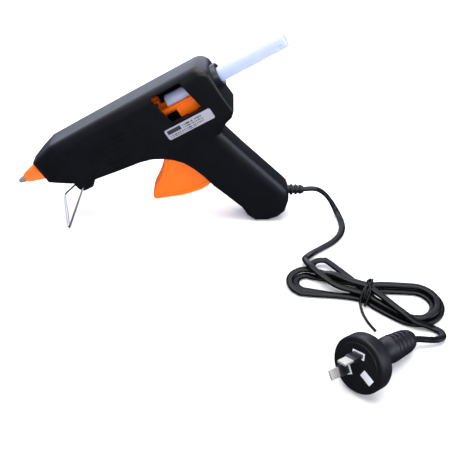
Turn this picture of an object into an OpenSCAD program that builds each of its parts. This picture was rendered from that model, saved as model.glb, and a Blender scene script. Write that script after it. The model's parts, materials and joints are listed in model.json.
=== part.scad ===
// Hot-melt glue gun with a wire bench stand, a fed glue stick and a mains lead.
// Barrel pieces are drawn along the barrel axis, from the nozzle outlet back,
// and everything else from the bench up, in the finished standing attitude.

/* [Stance] */
// Angle of the barrel above the bench, in degrees
barrel_tilt = 30; // [26:1:34]
// Height of the nozzle outlet above the bench
outlet_height = 30.5; // [28:0.5:34]

/* [Casing] */
// Width across the two shells at the barrel
body_w = 30; // [27:0.5:36]
// Width across the two shells at the handle
handle_w = 26; // [23:0.5:30]
// Thickness of the shell walls
wall = 2.2; // [1.6:0.1:2.6]
// Distance from the outlet to the rear face of the barrel
barrel_len = 184; // [182:1:200]
// Height of the barrel top above the barrel axis
barrel_top = 18; // [17:0.5:21]
// Radius of the round nose face
nose_r = 10.5; // [10:0.5:12]
// Length of the window in the side of the barrel
window_len = 26; // [20:1:27]
// Height of the window in the side of the barrel
window_h = 25.4; // [18:0.2:26]

/* [Glue stick] */
// Diameter of the glue stick
stick_d = 11.2; // [10.8:0.1:11.6]
// Length of the glue stick
stick_len = 100; // [90:5:150]
// Length of stick left outside the guide collar
stick_out = 54; // [30:1:60]

/* [Heater] */
// Outside radius of the melt chamber
chamber_r = 9; // [8.4:0.1:9.4]
// Length of the heated barrel of the melt chamber
chamber_len = 55; // [45:1:58]
// Radius of the glue outlet
outlet_r = 1; // [0.6:0.1:1.3]

/* [Trigger] */
// Width of the trigger
trigger_w = 16; // [14:0.5:17]
// Full swing of the trigger, in degrees
trigger_swing = 20; // [12:1:20]
// Radius of the trigger's pivot pin
pivot_r = 2; // [1.5:0.1:2.4]
// Distance from the pivot up to the barrel axis
pivot_drop = 26; // [25:0.5:28]

/* [Stand] */
// Diameter of the stand's wire
wire_d = 1.6; // [1.4:0.1:2.4]
// Width of the stand at its foot
foot_w = 50; // [40:1:60]

/* [Lead and plug] */
// Width of the flat twin cord
cord_w = 5.2; // [4.8:0.1:6]
// Thickness of the flat twin cord
cord_t = 3.2; // [2.8:0.1:3.6]
// Diameter of the plug's face
plug_d = 38; // [36:0.5:42]

/* [Hidden] */
$fn = 64;

cut = 1;                  // how far a cutter runs past a face
fit = 0.1;                // gap where one fixed piece seats in another
run = 0.06;               // radial gap of a turning pin
part_gap = 0.02;          // gap between the two shells

// barrel, along its axis
nose_u = 23;
nose_end_u = 46;
nose_slope = 0.45;
top_corner = 8;
rear_corner = 10;
belly = [[45, -18.5], [57, -22.5], [103, -28], [116, -34]];
tail = [[-4, -30], [-16, -36]];

// handle and bridge outlines, seen from the side
handle_x = 217.5;
handle_r = 9;
handle_angle = 45;
handle_deep = 39.4;
handle_pts = [
    [148, 97], [163, 81], [212.5, 31.5], [handle_x - 1.3, 27], [handle_x, 23], [handle_x, 16],
    [handle_x - 3, 8.5], [209, 3], [201, 0], [190, 0], [185, 3.5], [157, 34], [136, 56]
];
bridge_w = 27;
bridge_pts = [[112, 59], [120, 59], [131, 57.5], [141, 50], [157, 34], [176, 48], [163, 83], [150, 97], [118, 84]];

// window
window_u = 136;           // its upper front corner
window_v = 14.5;
window_lean = 4.6;        // its lower edge lies this much further back

// stick and its guide
stick_r = stick_d / 2;
guide_end_u = barrel_len + 4;
guide_wall = 3.3;
guide_r = stick_r + 0.6 + guide_wall;
stick_end_u = guide_end_u + stick_out;
stick_start_u = stick_end_u - stick_len;

// heater
chamber_u = 31;
chamber_end_u = chamber_u + chamber_len;
spigot_r = 7.4;
collar_h = 0.8;
collar_len = 1.6;
spigot_len = 9;
heater_u = 48;
heater_len = 26;
heater_w = 10;
heater_t = 2.4;
shoe_wall = 2;
shoe_v = -(chamber_r - 2);
shoe_drop = 9.2;
sleeve_end_u = chamber_end_u + 20;

// trigger train
pivot_u = 126;
lean = trigger_swing / 2;
pin_u = pivot_u + pivot_drop * tan(lean);
travel = 2 * pivot_drop * tan(lean);
arm_t = 2;
arm_y = trigger_w / 2 + 0.6;
arm_w = 7.4;
hub_r = 5;
spring_room = 3;
spring_r = pivot_r + 1.2;
spring_wire = 0.9;
spring_pitch = 1.5;
drive_pin_r = 1.5;
slot_gap = 0.3;
carriage_r = 8.2;
carriage_end_u = 171;
carriage_front_u = pin_u - 4;
ring_len = 9.5;
jaw_u = 156;
jaw_v = -12;
jaw_w = 5.6;
jaw_pin_r = 1.2;

track_u = 137;
track_len = 35;
track_v = 4.6;
track_h = 2.8;
track_y = 9;

// stand
lug_w = 18;
stand_u = 45;
stand_v = -26.5;
wire_r = wire_d / 2;
foot_x = 34;
foot_skew = 6;            // the stand sits a little askew in its slack hole
wire_bend_r = 1.2;

// screws: barrel ones along the axis, handle ones from the bench
boss_drop = 4.7;           // from the barrel's top to its upper screws
barrel_bosses = [[50, barrel_top - boss_drop], [112, barrel_top - boss_drop], [barrel_len - 9, -22]];
handle_bosses = [[185, 46], [194, 13]];
boss_r = 3.9;
screw_r = 1.4;
screw_head_r = 2.6;
screw_len = 19;

// label
label_u = 131;
label_v = -22.2;
label_len = 40;
label_h = 9.2;
label_t = 0.3;

// cord exit
exit_z = 22.5;
relief_out = 12;
relief_in = 9;
relief_r = 3.7;
floor_z = cord_t / 2 + 0.02;

// plug
plug_tilt = 14;
plug_turn = 42;
plug_rim = 11;
plug_len = 58;
grip_r = 8.3;
plug_x = 248;
plug_y = -192.5;
plug_z = plug_d / 2 * cos(plug_tilt) + plug_rim * sin(plug_tilt);
grip_tail = plug_len * cos(plug_tilt);

x_low = -1.7 * sin(barrel_tilt);
centre_x = (handle_x + x_low) / 2;

lead_path = [
    [handle_x + relief_out, 0, exit_z], [236, 0, 23.2], [242, 0, 22], [248, -0.5, 17.5], [253, -1.5, 11],
    [256.5, -4, 5.5], [259, -9, 2.4], [260.2, -16, floor_z], [260, -25, floor_z], [257, -34, floor_z],
    [251, -42.5, floor_z], [243, -49.5, floor_z], [234.5, -56.5, floor_z], [228.5, -64.5, floor_z],
    [227.5, -72.9, floor_z]
];
tail_path = [
    [303.5, -138.2, floor_z + 1], [308, -140.5, floor_z], [311.5, -144, floor_z + 0.6], [310.5, -148.5, floor_z + 1.6],
    [305.5, -151.6, floor_z + 2.8], [298.5, -153.6, floor_z + 4.2],
    [plug_x + grip_tail * cos(plug_turn), plug_y + grip_tail * sin(plug_turn), plug_z - plug_len * sin(plug_tilt)]
];
hank_left = [231, -90, 17];
hank_waist = [268, -103, 11];
hank_right = [300, -116, 22];
hank_h = 10;

// ---- functions ----
function arc(c, r, a0, a1, n = 8) = [for (i = [0:n]) c + r * [cos(a0 + (a1 - a0) * i / n), sin(a0 + (a1 - a0) * i / n)]];
function unit(v) = v / norm(v);
function left_of(v) = [-v[1], v[0]];
function line_cross(p, d, q, e) = p + d * ((q - p) * left_of(e)) / (d * left_of(e));
// outline moved inwards by g, its points running clockwise
function inset(p, g) = let (n = len(p)) [
    for (i = [0:n - 1])
        let (a = p[(i + n - 1) % n], b = p[i], c = p[(i + 1) % n], d = unit(b - a), e = unit(c - b))
        line_cross(b - g * left_of(d), d, b - g * left_of(e), e)
];
function smooth_at(p, i, t) =
    let (n = len(p), a = p[max(i - 1, 0)], b = p[i], c = p[min(i + 1, n - 1)], d = p[min(i + 2, n - 1)])
    0.5 * (2 * b + (c - a) * t + (2 * a - 5 * b + 4 * c - d) * t * t + (3 * b - a - 3 * c + d) * t * t * t);
function smooth_path(p, steps) = [
    for (i = [0:len(p) - 2], s = [0:steps - 1]) smooth_at(p, i, s / steps),
    p[len(p) - 1]
];

// ---- frames ----
module in_barrel() {
    translate([-centre_x, 0, outlet_height]) rotate([0, -barrel_tilt, 0]) children();
}
module on_bench() {
    translate([-centre_x, 0, 0]) children();
}
module in_plug() {
    on_bench() translate([plug_x, plug_y, plug_z]) rotate([0, plug_tilt, plug_turn]) children();
}
// a side outline given thickness across the gun, from y0 to y1
module side_plate(p, y0, y1) {
    translate([0, y1, 0]) rotate([90, 0, 0]) linear_extrude(y1 - y0) polygon(p);
}
module tube_along(p, w, t, sides = 8, up = [0, 0, 1]) {
    n = len(p);
    rings = [
        for (i = [0:n - 1])
            let (d = unit(p[min(i + 1, n - 1)] - p[max(i - 1, 0)]), s = unit(cross(d, up)), u = cross(s, d))
            [for (k = [0:sides - 1]) p[i] + s * (w / 2 * cos(360 * (k + 0.5) / sides)) + u * (t / 2 * sin(360 * (k + 0.5) / sides))]
    ];
    walls = [
        for (i = [0:n - 2], k = [0:sides - 1])
            let (a = i * sides + k, b = i * sides + (k + 1) % sides) [a, b, b + sides, a + sides]
    ];
    ends = [[for (k = [sides - 1:-1:0]) k], [for (k = [0:sides - 1]) (n - 1) * sides + k]];
    polyhedron(points = [for (r = rings, q = r) q], faces = concat(walls, ends), convexity = 6);
}
module along_u(u0, u1, r0, r1) {
    translate([u0, 0, 0]) rotate([0, 90, 0]) cylinder(h = u1 - u0, r1 = r0, r2 = r1);
}
module across(x, z, y0, y1, r) {
    translate([x, y1, z]) rotate([90, 0, 0]) cylinder(h = y1 - y0, r = r);
}

// ---- casing forms, each drawn inwards by g ----
function barrel_pts() = concat(
    [belly[0], [nose_u, -nose_r + 0.5], [nose_u, nose_r], [nose_end_u, barrel_top]],
    arc([barrel_len - rear_corner, barrel_top - rear_corner], rear_corner, 90, 0),
    [[barrel_len, -26]],
    [for (p = tail) [barrel_len + p[0], p[1]]],
    [belly[3], belly[2], belly[1]]
);
module barrel_form(g) {
    half = body_w / 2 - g;
    r = top_corner - g;
    top = barrel_top - g;
    intersection() {
        side_plate(inset(barrel_pts(), g), -body_w, body_w);
        rotate([90, 0, 90]) linear_extrude(barrel_len + 20)
            polygon(concat([[half, -60], [half, top - r]], arc([half - r, top - r], r, 0, 90),
                arc([r - half, top - r], r, 90, 180), [[-half, -60]]));
        union() {
            along_u(nose_u - cut, nose_end_u, nose_r + 1 - g - cut * nose_slope,
                nose_r + 1 - g + (nose_end_u - nose_u) * nose_slope);
            translate([nose_end_u - 4, -body_w, -60]) cube([barrel_len, 2 * body_w, 100]);
        }
    }
}
module handle_form(g) {
    x0 = g - 0.4;
    x1 = handle_deep - g;
    y = handle_w / 2 - g;
    r = handle_r - g;
    intersection() {
        side_plate(inset(handle_pts, g), -handle_w, handle_w);
        translate([148, 0, 96]) rotate([0, 90 + handle_angle, 0]) translate([0, 0, -60])
            linear_extrude(220) polygon(concat(
                arc([x0 + r, r - y], r, 180, 270), arc([x1 - r, r - y], r, 270, 360),
                arc([x1 - r, y - r], r, 0, 90), arc([x0 + r, y - r], r, 90, 180)));
    }
}
module bridge_form(g) {
    side_plate(inset(bridge_pts, g), -bridge_w / 2 + g, bridge_w / 2 - g);
}
module casing(g) {
    in_barrel() barrel_form(g);
    on_bench() {
        bridge_form(g);
        handle_form(g);
    }
}

// side = -1 for the left shell, 1 for the right one
module half_space(side) {
    y0 = side < 0 ? -60 : part_gap / 2;
    translate([-200, y0, -20]) cube([500, 60 - part_gap / 2, 260]);
}
module chamber_ribs() {
    for (u = [chamber_u + 5, chamber_end_u - 6]) intersection() {
        barrel_form(wall - 0.2);
        difference() {
            translate([u, -body_w, -60]) cube([2, 2 * body_w, 100]);
            translate([u - cut, -heater_w / 2 - shoe_wall - fit, -40]) cube([2 + 2 * cut, heater_w + 2 * (shoe_wall + fit), 40]);
        }
    }
}
// the room that the melt chamber, its collars and its shoe need in ribs, bosses, lug and walls
module chamber_room() {
    box_w = heater_w + 2 * (shoe_wall + fit);
    along_u(chamber_u - fit, chamber_end_u + fit, chamber_r + fit, chamber_r + fit);
    for (u = [chamber_u + 1, chamber_end_u - 3])
        along_u(u - fit, u + collar_len + fit, chamber_r + collar_h + fit, chamber_r + collar_h + fit);
    translate([heater_u - 3 - fit, -box_w / 2, shoe_v - shoe_drop - fit]) cube([heater_len + 6 + 2 * fit, box_w, shoe_drop]);
}
// the carriage's upper track, a rib inside each shell
module track_ribs() {
    for (s = [-1, 1]) translate([track_u, s > 0 ? track_y : -body_w / 2 + wall - 0.3, track_v])
        cube([track_len, body_w / 2 - wall + 0.3 - track_y, track_h]);
}
module lug() {
    side_plate([[40, -15], [55.5, -20], [53, -30.2], [44, -30], [41, -26.5]], -lug_w / 2, lug_w / 2);
}
module bosses(r, y0, y1) {
    in_barrel() for (p = barrel_bosses) across(p[0], p[1], y0, y1, r);
    on_bench() for (p = handle_bosses) across(p[0], p[1], y0, y1, r);
}
module pivot_boss(r) {
    in_barrel() across(pivot_u, -pivot_drop, -body_w / 2 + 1, body_w / 2 - 1, r);
}
// the room that the trigger and its arms sweep through
module trigger_room() {
    on_bench() side_plate([[108, 44], [108, 72], [150, 72], [170, 52], [157.2, 34.4], [146, 20]],
        -trigger_w / 2 - 0.7, trigger_w / 2 + 0.7);
}
module openings() {
    in_barrel() {
        along_u(nose_u - cut, nose_u + wall + cut, nose_r - 2.6 + fit, nose_r - 2.6 + fit);
        along_u(barrel_len - wall - cut, barrel_len + cut, guide_r + fit, guide_r + fit);
        side_plate([
            [window_u, window_v], [window_u + window_len, window_v],
            [window_u + window_len + window_lean, window_v - window_h], [window_u + window_lean, window_v - window_h]
        ], -body_w, 0);
        across(stand_u, stand_v, -lug_w, lug_w, wire_r + run);
        translate([label_u, -body_w / 2 - cut, label_v]) cube([label_len, cut + label_t, label_h]);
    }
    trigger_room();
    on_bench() translate([handle_x - 4, 0, exit_z]) rotate([0, 90, 0]) cylinder(h = 6, r = relief_r + fit);
}
module shell_half(side) {
    y_in = side < 0 ? -body_w : 0;
    intersection() {
        half_space(side);
        difference() {
            union() {
                difference() {
                    casing(0);
                    casing(wall);
                }
                in_barrel() {
                    lug();
                    chamber_ribs();
                    track_ribs();
                }
                intersection() {
                    casing(wall - 0.2);
                    bosses(boss_r, -body_w / 2, body_w / 2);
                }
                intersection() {
                    casing(wall - 0.2);
                    difference() {
                        pivot_boss(pivot_r + 2);
                        in_barrel() across(pivot_u, -pivot_drop, -arm_y - arm_t - 0.5, arm_y + arm_t + 0.5, pivot_r + 3);
                    }
                }
            }
            openings();
            in_barrel() chamber_room();
            in_barrel() across(pivot_u, -pivot_drop, -body_w / 2 + 1.4, body_w / 2 - 1.4, pivot_r + fit / 2);
            if (side < 0) bosses(screw_r + 0.05, -screw_len + 6, cut);
            else {
                bosses(screw_r + 0.3, -cut, body_w);
                bosses(screw_head_r + 0.3, 6, body_w);
            }
        }
    }
}
module left_shell() { color("#15171c") shell_half(-1); }
module right_shell() { color("#15171c") shell_half(1); }
module screw_at(x, z) {
    across(x, z, 6 - screw_len + 0.5, 6, screw_r);
    difference() {
        across(x, z, 6, 8, screw_head_r);
        translate([x - 1.8, 7, z - 0.35]) cube([3.6, 2, 0.7]);
        translate([x - 0.35, 7, z - 1.8]) cube([0.7, 2, 3.6]);
    }
}
module shell_screws() {
    color("#8d9096") {
        in_barrel() for (p = barrel_bosses) screw_at(p[0], p[1]);
        on_bench() for (p = handle_bosses) screw_at(p[0], p[1]);
    }
}
module rating_label() {
    color("#b9b9c8") in_barrel()
        translate([label_u + fit, -body_w / 2, label_v + fit]) cube([label_len - 2 * fit, label_t, label_h - 2 * fit]);
}

// ---- nozzle and heater ----
module nozzle_tip() {
    color("#c9b27c") in_barrel() difference() {
        rotate([90, 0, 90]) rotate_extrude() polygon([
            [0, 0], [1.7, 0], [2, 1], [3.2, 7.2], [3.2, 28.5], [5, 28.5], [5, chamber_u], [4, chamber_u], [4, chamber_u + 9], [0, chamber_u + 9]
        ]);
        along_u(-cut, 6, outlet_r, outlet_r);
        along_u(6 - 0.01, chamber_u + 9 + cut, 1.8, 1.8);
    }
}
module nozzle_sleeve() {
    neck = nose_r - 2.6;
    color("#f5791d") in_barrel() difference() {
        rotate([90, 0, 90]) rotate_extrude() polygon([
            [0, 7], [3.8, 7], [4.3, 7.5], [neck, nose_u - 0.5], [neck, nose_u + wall + 0.3],
            [nose_r - wall, nose_u + wall + 0.3], [nose_r - wall, nose_u + wall + 2.6], [0, nose_u + wall + 2.6]
        ]);
        along_u(6, nose_u + 8, 3.25, 3.25);
    }
}
module melt_chamber() {
    box_w = heater_w + 2 * shoe_wall;
    color("#b4b6ba") in_barrel() difference() {
        union() {
            along_u(chamber_u, chamber_end_u, chamber_r, chamber_r);
            along_u(chamber_end_u - 1, chamber_end_u + spigot_len, spigot_r, spigot_r);
            translate([heater_u - 3, -box_w / 2, shoe_v - shoe_drop]) cube([heater_len + 6, box_w, shoe_drop]);
            for (u = [chamber_u + 1, chamber_end_u - 3]) along_u(u, u + collar_len, chamber_r + collar_h, chamber_r + collar_h);
        }
        along_u(chamber_u - cut, chamber_u + 10, 4.05, 4.05);
        along_u(chamber_u + 9.9, chamber_u + 15, 2, stick_r + 0.3);
        along_u(chamber_u + 14.99, chamber_end_u + spigot_len + cut, stick_r + 0.3, stick_r + 0.3);
        translate([heater_u - 4, -heater_w / 2 - fit, shoe_v - shoe_drop + shoe_wall])
            cube([heater_len + 8, heater_w + 2 * fit, shoe_drop - 2 * shoe_wall - 1.2]);
    }
}
pocket_low = shoe_v - shoe_drop + shoe_wall;
module ptc_heater() {
    color("#6f6a66") in_barrel() for (i = [0:2])
        translate([heater_u + i * heater_len / 3 + 0.2, -heater_w / 2 + 0.5, pocket_low + 1.2])
            cube([heater_len / 3 - 0.4, heater_w - 1, heater_t - 0.8]);
}
module heater_electrodes() {
    color("#c8a24a") in_barrel() for (v = [pocket_low + 0.6, pocket_low + 1.2 + heater_t - 0.8])
        translate([heater_u - 1, -heater_w / 2 + 1, v]) cube([heater_len + 10, heater_w - 2, 0.6]);
}
module heater_clip() {
    w = heater_w / 2 + shoe_wall;
    color("#a9abb0") in_barrel() difference() {
        translate([heater_u + 6, -w - 0.9, shoe_v - shoe_drop - 0.9]) cube([12, 2 * w + 1.8, 7]);
        translate([heater_u + 6 - cut, -w - 0.1, shoe_v - shoe_drop - 0.1]) cube([12 + 2 * cut, 2 * w + 0.2, 8]);
    }
}
module inlet_sleeve() {
    color("#c4452c") in_barrel() difference() {
        union() {
            along_u(chamber_end_u + 0.5, sleeve_end_u - 3, chamber_r + 0.3, chamber_r + 0.3);
            along_u(sleeve_end_u - 3, sleeve_end_u, chamber_r + 1.2, chamber_r + 1.2);
        }
        along_u(chamber_end_u, chamber_end_u + spigot_len + 0.2, spigot_r + 0.05, spigot_r + 0.05);
        along_u(chamber_end_u + spigot_len, sleeve_end_u + cut, stick_r + 0.4, stick_r + 0.4);
        along_u(sleeve_end_u - 3, sleeve_end_u + 0.01, stick_r + 0.4, stick_r + 2);
    }
}
module sleeve_clamp() {
    u = chamber_end_u + 3;
    color("#9fa2a8") in_barrel() difference() {
        union() {
            along_u(u, u + 3, chamber_r + 1.1, chamber_r + 1.1);
            translate([u, -2, chamber_r + 0.5]) cube([3, 4, 3.4]);
        }
        along_u(u - cut, u + 3 + cut, chamber_r + 0.35, chamber_r + 0.35);
        translate([u - cut, -1, chamber_r - 2]) cube([3 + 2 * cut, 2, 8]);
    }
}

// ---- feed train ----
module pusher_carriage() {
    bore = stick_r + 0.4;
    color("#f26a16") in_barrel() difference() {
        union() {
            along_u(carriage_end_u - ring_len, carriage_end_u, carriage_r, carriage_r);
            intersection() {
                along_u(carriage_front_u, carriage_end_u - 1, carriage_r, carriage_r);
                translate([carriage_front_u, -20, -20]) cube([60, 40, 18.5]);
            }
            for (s = [-1, 1]) {
                translate([carriage_front_u, s > 0 ? bore - 0.4 : -carriage_r, -2.5]) cube([8, carriage_r - bore + 0.4, 5]);
                across(pin_u, 0, s > 0 ? carriage_r - 1 : -arm_y - arm_t - 0.3, s > 0 ? arm_y + arm_t + 0.3 : -carriage_r + 1, drive_pin_r);
                translate([jaw_u - 4, s > 0 ? jaw_w / 2 + 0.3 : -jaw_w / 2 - 2.8, jaw_v - 2.6]) cube([8, 2.5, -jaw_v - 2.8]);
            }
        }
        along_u(carriage_front_u - cut, carriage_end_u + cut, bore, bore);
        translate([jaw_u - 9, -jaw_w / 2 - 0.3, -20]) cube([15, jaw_w + 0.6, 16]);
        across(jaw_u, jaw_v, -10, 10, jaw_pin_r + 0.02);
    }
}
module gripper_jaw() {
    t = -stick_r - 0.7;
    color("#9a9da3") in_barrel() difference() {
        side_plate([
            [jaw_u - 7, t - 1], [jaw_u - 6.4, t], [jaw_u - 5.6, t - 0.9], [jaw_u - 4.8, t], [jaw_u - 4, t - 0.9],
            [jaw_u - 3.2, t], [jaw_u - 2.4, t - 0.9], [jaw_u + 2, t - 1.6], [jaw_u + 2.8, jaw_v], [jaw_u + 1, jaw_v - 2.6],
            [jaw_u - 2, jaw_v - 2.4]
        ], -jaw_w / 2, jaw_w / 2);
        across(jaw_u, jaw_v, -10, 10, jaw_pin_r + run);
    }
}
module jaw_pin() {
    color("#b9bbc0") in_barrel() across(jaw_u, jaw_v, -jaw_w / 2 - 2.7, jaw_w / 2 + 2.7, jaw_pin_r);
}
trigger_pts = concat(
    [[117.4, 72], [126.8, 72], [130, 64], [142, 53], [154.5, 42.5], [155.6, 34.6], [148, 28.6]],
    [[138, 24], [126, 21], [115, 19.2]],
    arc([110.6, 21.4], 3, 265, 180, 5),
    [[107.6, 24.5], [109.2, 31], [112.6, 38.5], [114.6, 46], [114.4, 54]]
);
module trigger_arm(y0) {
    translate([pivot_u, 0, -pivot_drop]) rotate([0, lean, 0]) difference() {
        translate([-arm_w / 2, y0, 0]) cube([arm_w, arm_t, pivot_drop / cos(lean) + 5]);
        side_plate(concat(
            arc([0, pivot_drop - 0.4], drive_pin_r + slot_gap, 180, 360),
            arc([0, pivot_drop / cos(lean) + 0.4], drive_pin_r + slot_gap, 0, 180)), y0 - cut, y0 + arm_t + cut);
    }
}
module trigger() {
    w = trigger_w / 2;
    color("#fb6c07") difference() {
        union() {
            difference() {
                on_bench() side_plate(trigger_pts, -w, w);
                for (s = [-1, 1])
                    on_bench() side_plate(inset(trigger_pts, 2.4), s > 0 ? w - 0.8 : -w - cut, s > 0 ? w + cut : -w + 0.8);
            }
            in_barrel() {
                across(pivot_u, -pivot_drop, -arm_y - arm_t - 0.2, arm_y + arm_t + 0.2, hub_r);
                trigger_arm(arm_y);
                trigger_arm(-arm_y - arm_t);
            }
        }
        in_barrel() across(pivot_u, -pivot_drop, -body_w, body_w, pivot_r + run);
        in_barrel() across(pivot_u, -pivot_drop, -spring_room, spring_room, hub_r + 0.8);
    }
}
module trigger_pin() {
    color("#b9bbc0") in_barrel() across(pivot_u, -pivot_drop, -body_w / 2 + 1.5, body_w / 2 - 1.5, pivot_r);
}
module return_spring() {
    coil = [for (a = [180:20:1080]) [spring_r * cos(a), spring_pitch * (a - 630) / 360, spring_r * sin(a)]];
    n = len(coil) - 1;
    color("#c0c2c6") in_barrel() translate([pivot_u, 0, -pivot_drop])
        tube_along(concat([coil[0] + [0, 0, 3.6]], coil, [coil[n] + [0, 0, 3.6]]), spring_wire, spring_wire, 8, [0, 1, 0]);
}
module stick_guide() {
    color("#1b1d22") in_barrel() difference() {
        union() {
            along_u(barrel_len - 8, guide_end_u, guide_r, guide_r);
            along_u(barrel_len - wall - 4.4, barrel_len - wall - 1.9, guide_r + 1.6, guide_r + 1.6);
        }
        along_u(barrel_len - 9, guide_end_u + cut, stick_r + 0.6, stick_r + 0.6);
        along_u(guide_end_u - 1, guide_end_u + 0.01, stick_r + 0.6, stick_r + 1.6);
    }
}
module glue_stick() {
    color([0.86, 0.92, 1, 0.8]) in_barrel() along_u(stick_start_u, stick_end_u, stick_r, stick_r);
}

// ---- stand ----
// points round the corner at b, a rounding of the given radius between a and c
function rounded(a, b, c, r, n = 5) =
    let (e = unit(a - b), f = unit(c - b), turn = 180 - acos(e * f), centre = b + unit(e + f) * r / cos(turn / 2),
        x = -unit(e + f), y = unit(f - e))
    [for (i = [0:n]) let (k = turn * (i / n - 0.5)) centre + r * (x * cos(k) + y * sin(k))];
module wire_stand() {
    top_x = stand_u * cos(barrel_tilt) - stand_v * sin(barrel_tilt);
    top_z = outlet_height + stand_u * sin(barrel_tilt) + stand_v * cos(barrel_tilt);
    top_y = lug_w / 2 + 0.6 + wire_r;
    foot_y = foot_w / 2 - wire_r;
    tube_r = wire_r - 0.02;
    p = [
        [top_x, -lug_w / 2 - 0.1, top_z], [top_x, -top_y, top_z], [foot_x + foot_skew, -foot_y, tube_r + 0.02],
        [foot_x - foot_skew, foot_y, tube_r + 0.02], [top_x, top_y, top_z], [top_x, lug_w / 2 + 0.1, top_z]
    ];
    color("#c3c6cb") on_bench() {
        tube_along(concat([p[0]], [for (i = [1:4]) each rounded(p[i - 1], p[i], p[i + 1], wire_bend_r)], [p[5]]),
            2 * tube_r, 2 * tube_r, 12, unit(cross([0, 1, 0], p[2] - p[1])));
        for (s = [-1, 1]) across(top_x, top_z, s > 0 ? lug_w / 2 - 5 : -lug_w / 2 - 0.4, s > 0 ? lug_w / 2 + 0.4 : -lug_w / 2 + 5, wire_r);
    }
}

// ---- lead, inside and out ----
module cord_clamp() {
    color("#2a2c31") on_bench() difference() {
        translate([199, -8, exit_z + cord_t / 2 + 0.1]) cube([6, 16, 3]);
        for (y = [-5.4, 5.4]) translate([202, y, exit_z - 5]) cylinder(h = 20, r = 1.2);
    }
}
module clamp_screws() {
    color("#8d9096") on_bench() for (y = [-5.4, 5.4]) translate([202, y, 0]) {
        translate([0, 0, exit_z - 4]) cylinder(h = 9, r = 1.1);
        translate([0, 0, exit_z + cord_t / 2 + 3.15]) cylinder(h = 1.6, r = 2.1);
    }
}
function bench_point(u, v, y) = [
    u * cos(barrel_tilt) - v * sin(barrel_tilt), y, outlet_height + u * sin(barrel_tilt) + v * cos(barrel_tilt)
];
function wire_path(y) = [
    [198, y * 0.6, exit_z + 3], [186, y, 34], [175, y, 48], [170, y, 57], [166, y, 67], [160, y, 77], [153, y, 86],
    bench_point(156, -19.5, y), bench_point(147, -18.2, y), bench_point(132, -18, y),
    bench_point(118, -18, y), bench_point(106, -17.5, y), bench_point(96, -16, y * 1.1), bench_point(heater_u + heater_len + 11.5, -14, y * 1.1)
];
module live_wire() { color("#7a4a2a") on_bench() tube_along(smooth_path(wire_path(-2.4), 3), 1.8, 1.8); }
module neutral_wire() { color("#2d5f9e") on_bench() tube_along(smooth_path(wire_path(2.4), 3), 1.8, 1.8); }
module wire_sleeves() {
    color("#e9e6dc") in_barrel() for (s = [-1, 1]) difference() {
        translate([heater_u + heater_len + 4.6, s * 2.6 - 1.9, pocket_low - 0.4]) cube([6.6, 3.8, 3.8]);
        translate([heater_u + heater_len + 4, -heater_w / 2, pocket_low + 0.5]) cube([5.2, heater_w, heater_t + 0.7]);
    }
}
module strain_relief() {
    color("#16181c") on_bench() difference() {
        translate([handle_x, 0, exit_z]) rotate([0, 90, 0]) {
            translate([0, 0, -relief_in]) cylinder(h = relief_in + relief_out, r = relief_r - 0.4);
            translate([0, 0, -4]) cylinder(h = 4, r = relief_r);
            translate([0, 0, -relief_in]) cylinder(h = 3, r = relief_r + 1.4);
            for (i = [0:2]) translate([0, 0, 1 + 3.6 * i]) cylinder(h = 2, r1 = relief_r + 0.9 - 0.3 * i, r2 = relief_r + 0.7 - 0.3 * i);
        }
        translate([handle_x - relief_in - cut, -cord_w / 2 - 0.05, exit_z - cord_t / 2 - 0.05])
            cube([relief_in + relief_out + cut - 0.6, cord_w + 0.1, cord_t + 0.1]);
    }
}
module cord_lead() {
    color("#121318") on_bench() tube_along(smooth_path(lead_path, 4), cord_w, cord_t);
}
module cord_hank() {
    color("#121318") on_bench() linear_extrude(hank_h) for (c = [hank_left, hank_right]) hull() {
        translate([c[0], c[1]]) circle(c[2], $fn = 48);
        translate([hank_waist[0], hank_waist[1]]) circle(hank_waist[2], $fn = 48);
    }
}
module cord_tail() {
    color("#121318") on_bench() tube_along(smooth_path(tail_path, 4), cord_w, cord_t);
}
module cord_tie() {
    color("#0f1013") on_bench() translate([hank_waist[0] + 2, hank_waist[1], 0]) rotate([0, 0, -18]) difference() {
        translate([-1.2, -hank_waist[2] - 1.4, 0]) cube([2.4, 2 * hank_waist[2] + 2.8, hank_h + 1.2]);
        translate([-2, -hank_waist[2] - 0.4, -1]) cube([4, 2 * hank_waist[2] + 0.8, hank_h + 1.1]);
    }
}

// ---- plug, its face at the origin of its frame and its cord end along +X ----
pin_len = 17;
pin_w = 6.35;
pin_t = 1.6;
pin_pitch = 7.9;
pin_slant = 30;
module at_pins() {
    for (s = [-1, 1]) rotate([s * pin_slant, 0, 0]) translate([0, s * pin_pitch, 0]) children();
}
module plug_body() {
    r = plug_d / 2;
    color("#131418") in_plug() difference() {
        rotate([90, 0, 90]) rotate_extrude() polygon([
            [0, 0], [r - 1.2, 0], [r, 1.2], [r, plug_rim - 1], [r - 1, plug_rim], [grip_r + 4.6, plug_rim + 1.4], [grip_r + 3.6, plug_rim + 6],
            [grip_r + 0.9, plug_rim + 8], [grip_r, plug_rim + 19], [grip_r + 0.6, plug_rim + 22], [grip_r + 0.8, plug_rim + 29],
            [grip_r - 0.6, plug_len - 4], [grip_r - 2.2, plug_len], [0, plug_len]
        ]);
        translate([-cut, 0, 0]) rotate([90, 0, 90]) cylinder(h = 1.2 + cut, r = r - 4.5);
        at_pins() translate([-cut, -pin_t / 2 - 0.02, -pin_w / 2 - 0.02]) cube([8 + cut, pin_t + 0.04, pin_w + 0.04]);
    }
}
module plug_insert() {
    r = plug_d / 2 - 4.6;
    color("#d9dbe2") in_plug() difference() {
        translate([0.1, 0, 0]) rotate([90, 0, 90]) cylinder(h = 1.1, r = r);
        at_pins() translate([-cut, -pin_t / 2 - 0.02, -pin_w / 2 - 0.02]) cube([8, pin_t + 0.04, pin_w + 0.04]);
    }
}
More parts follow.
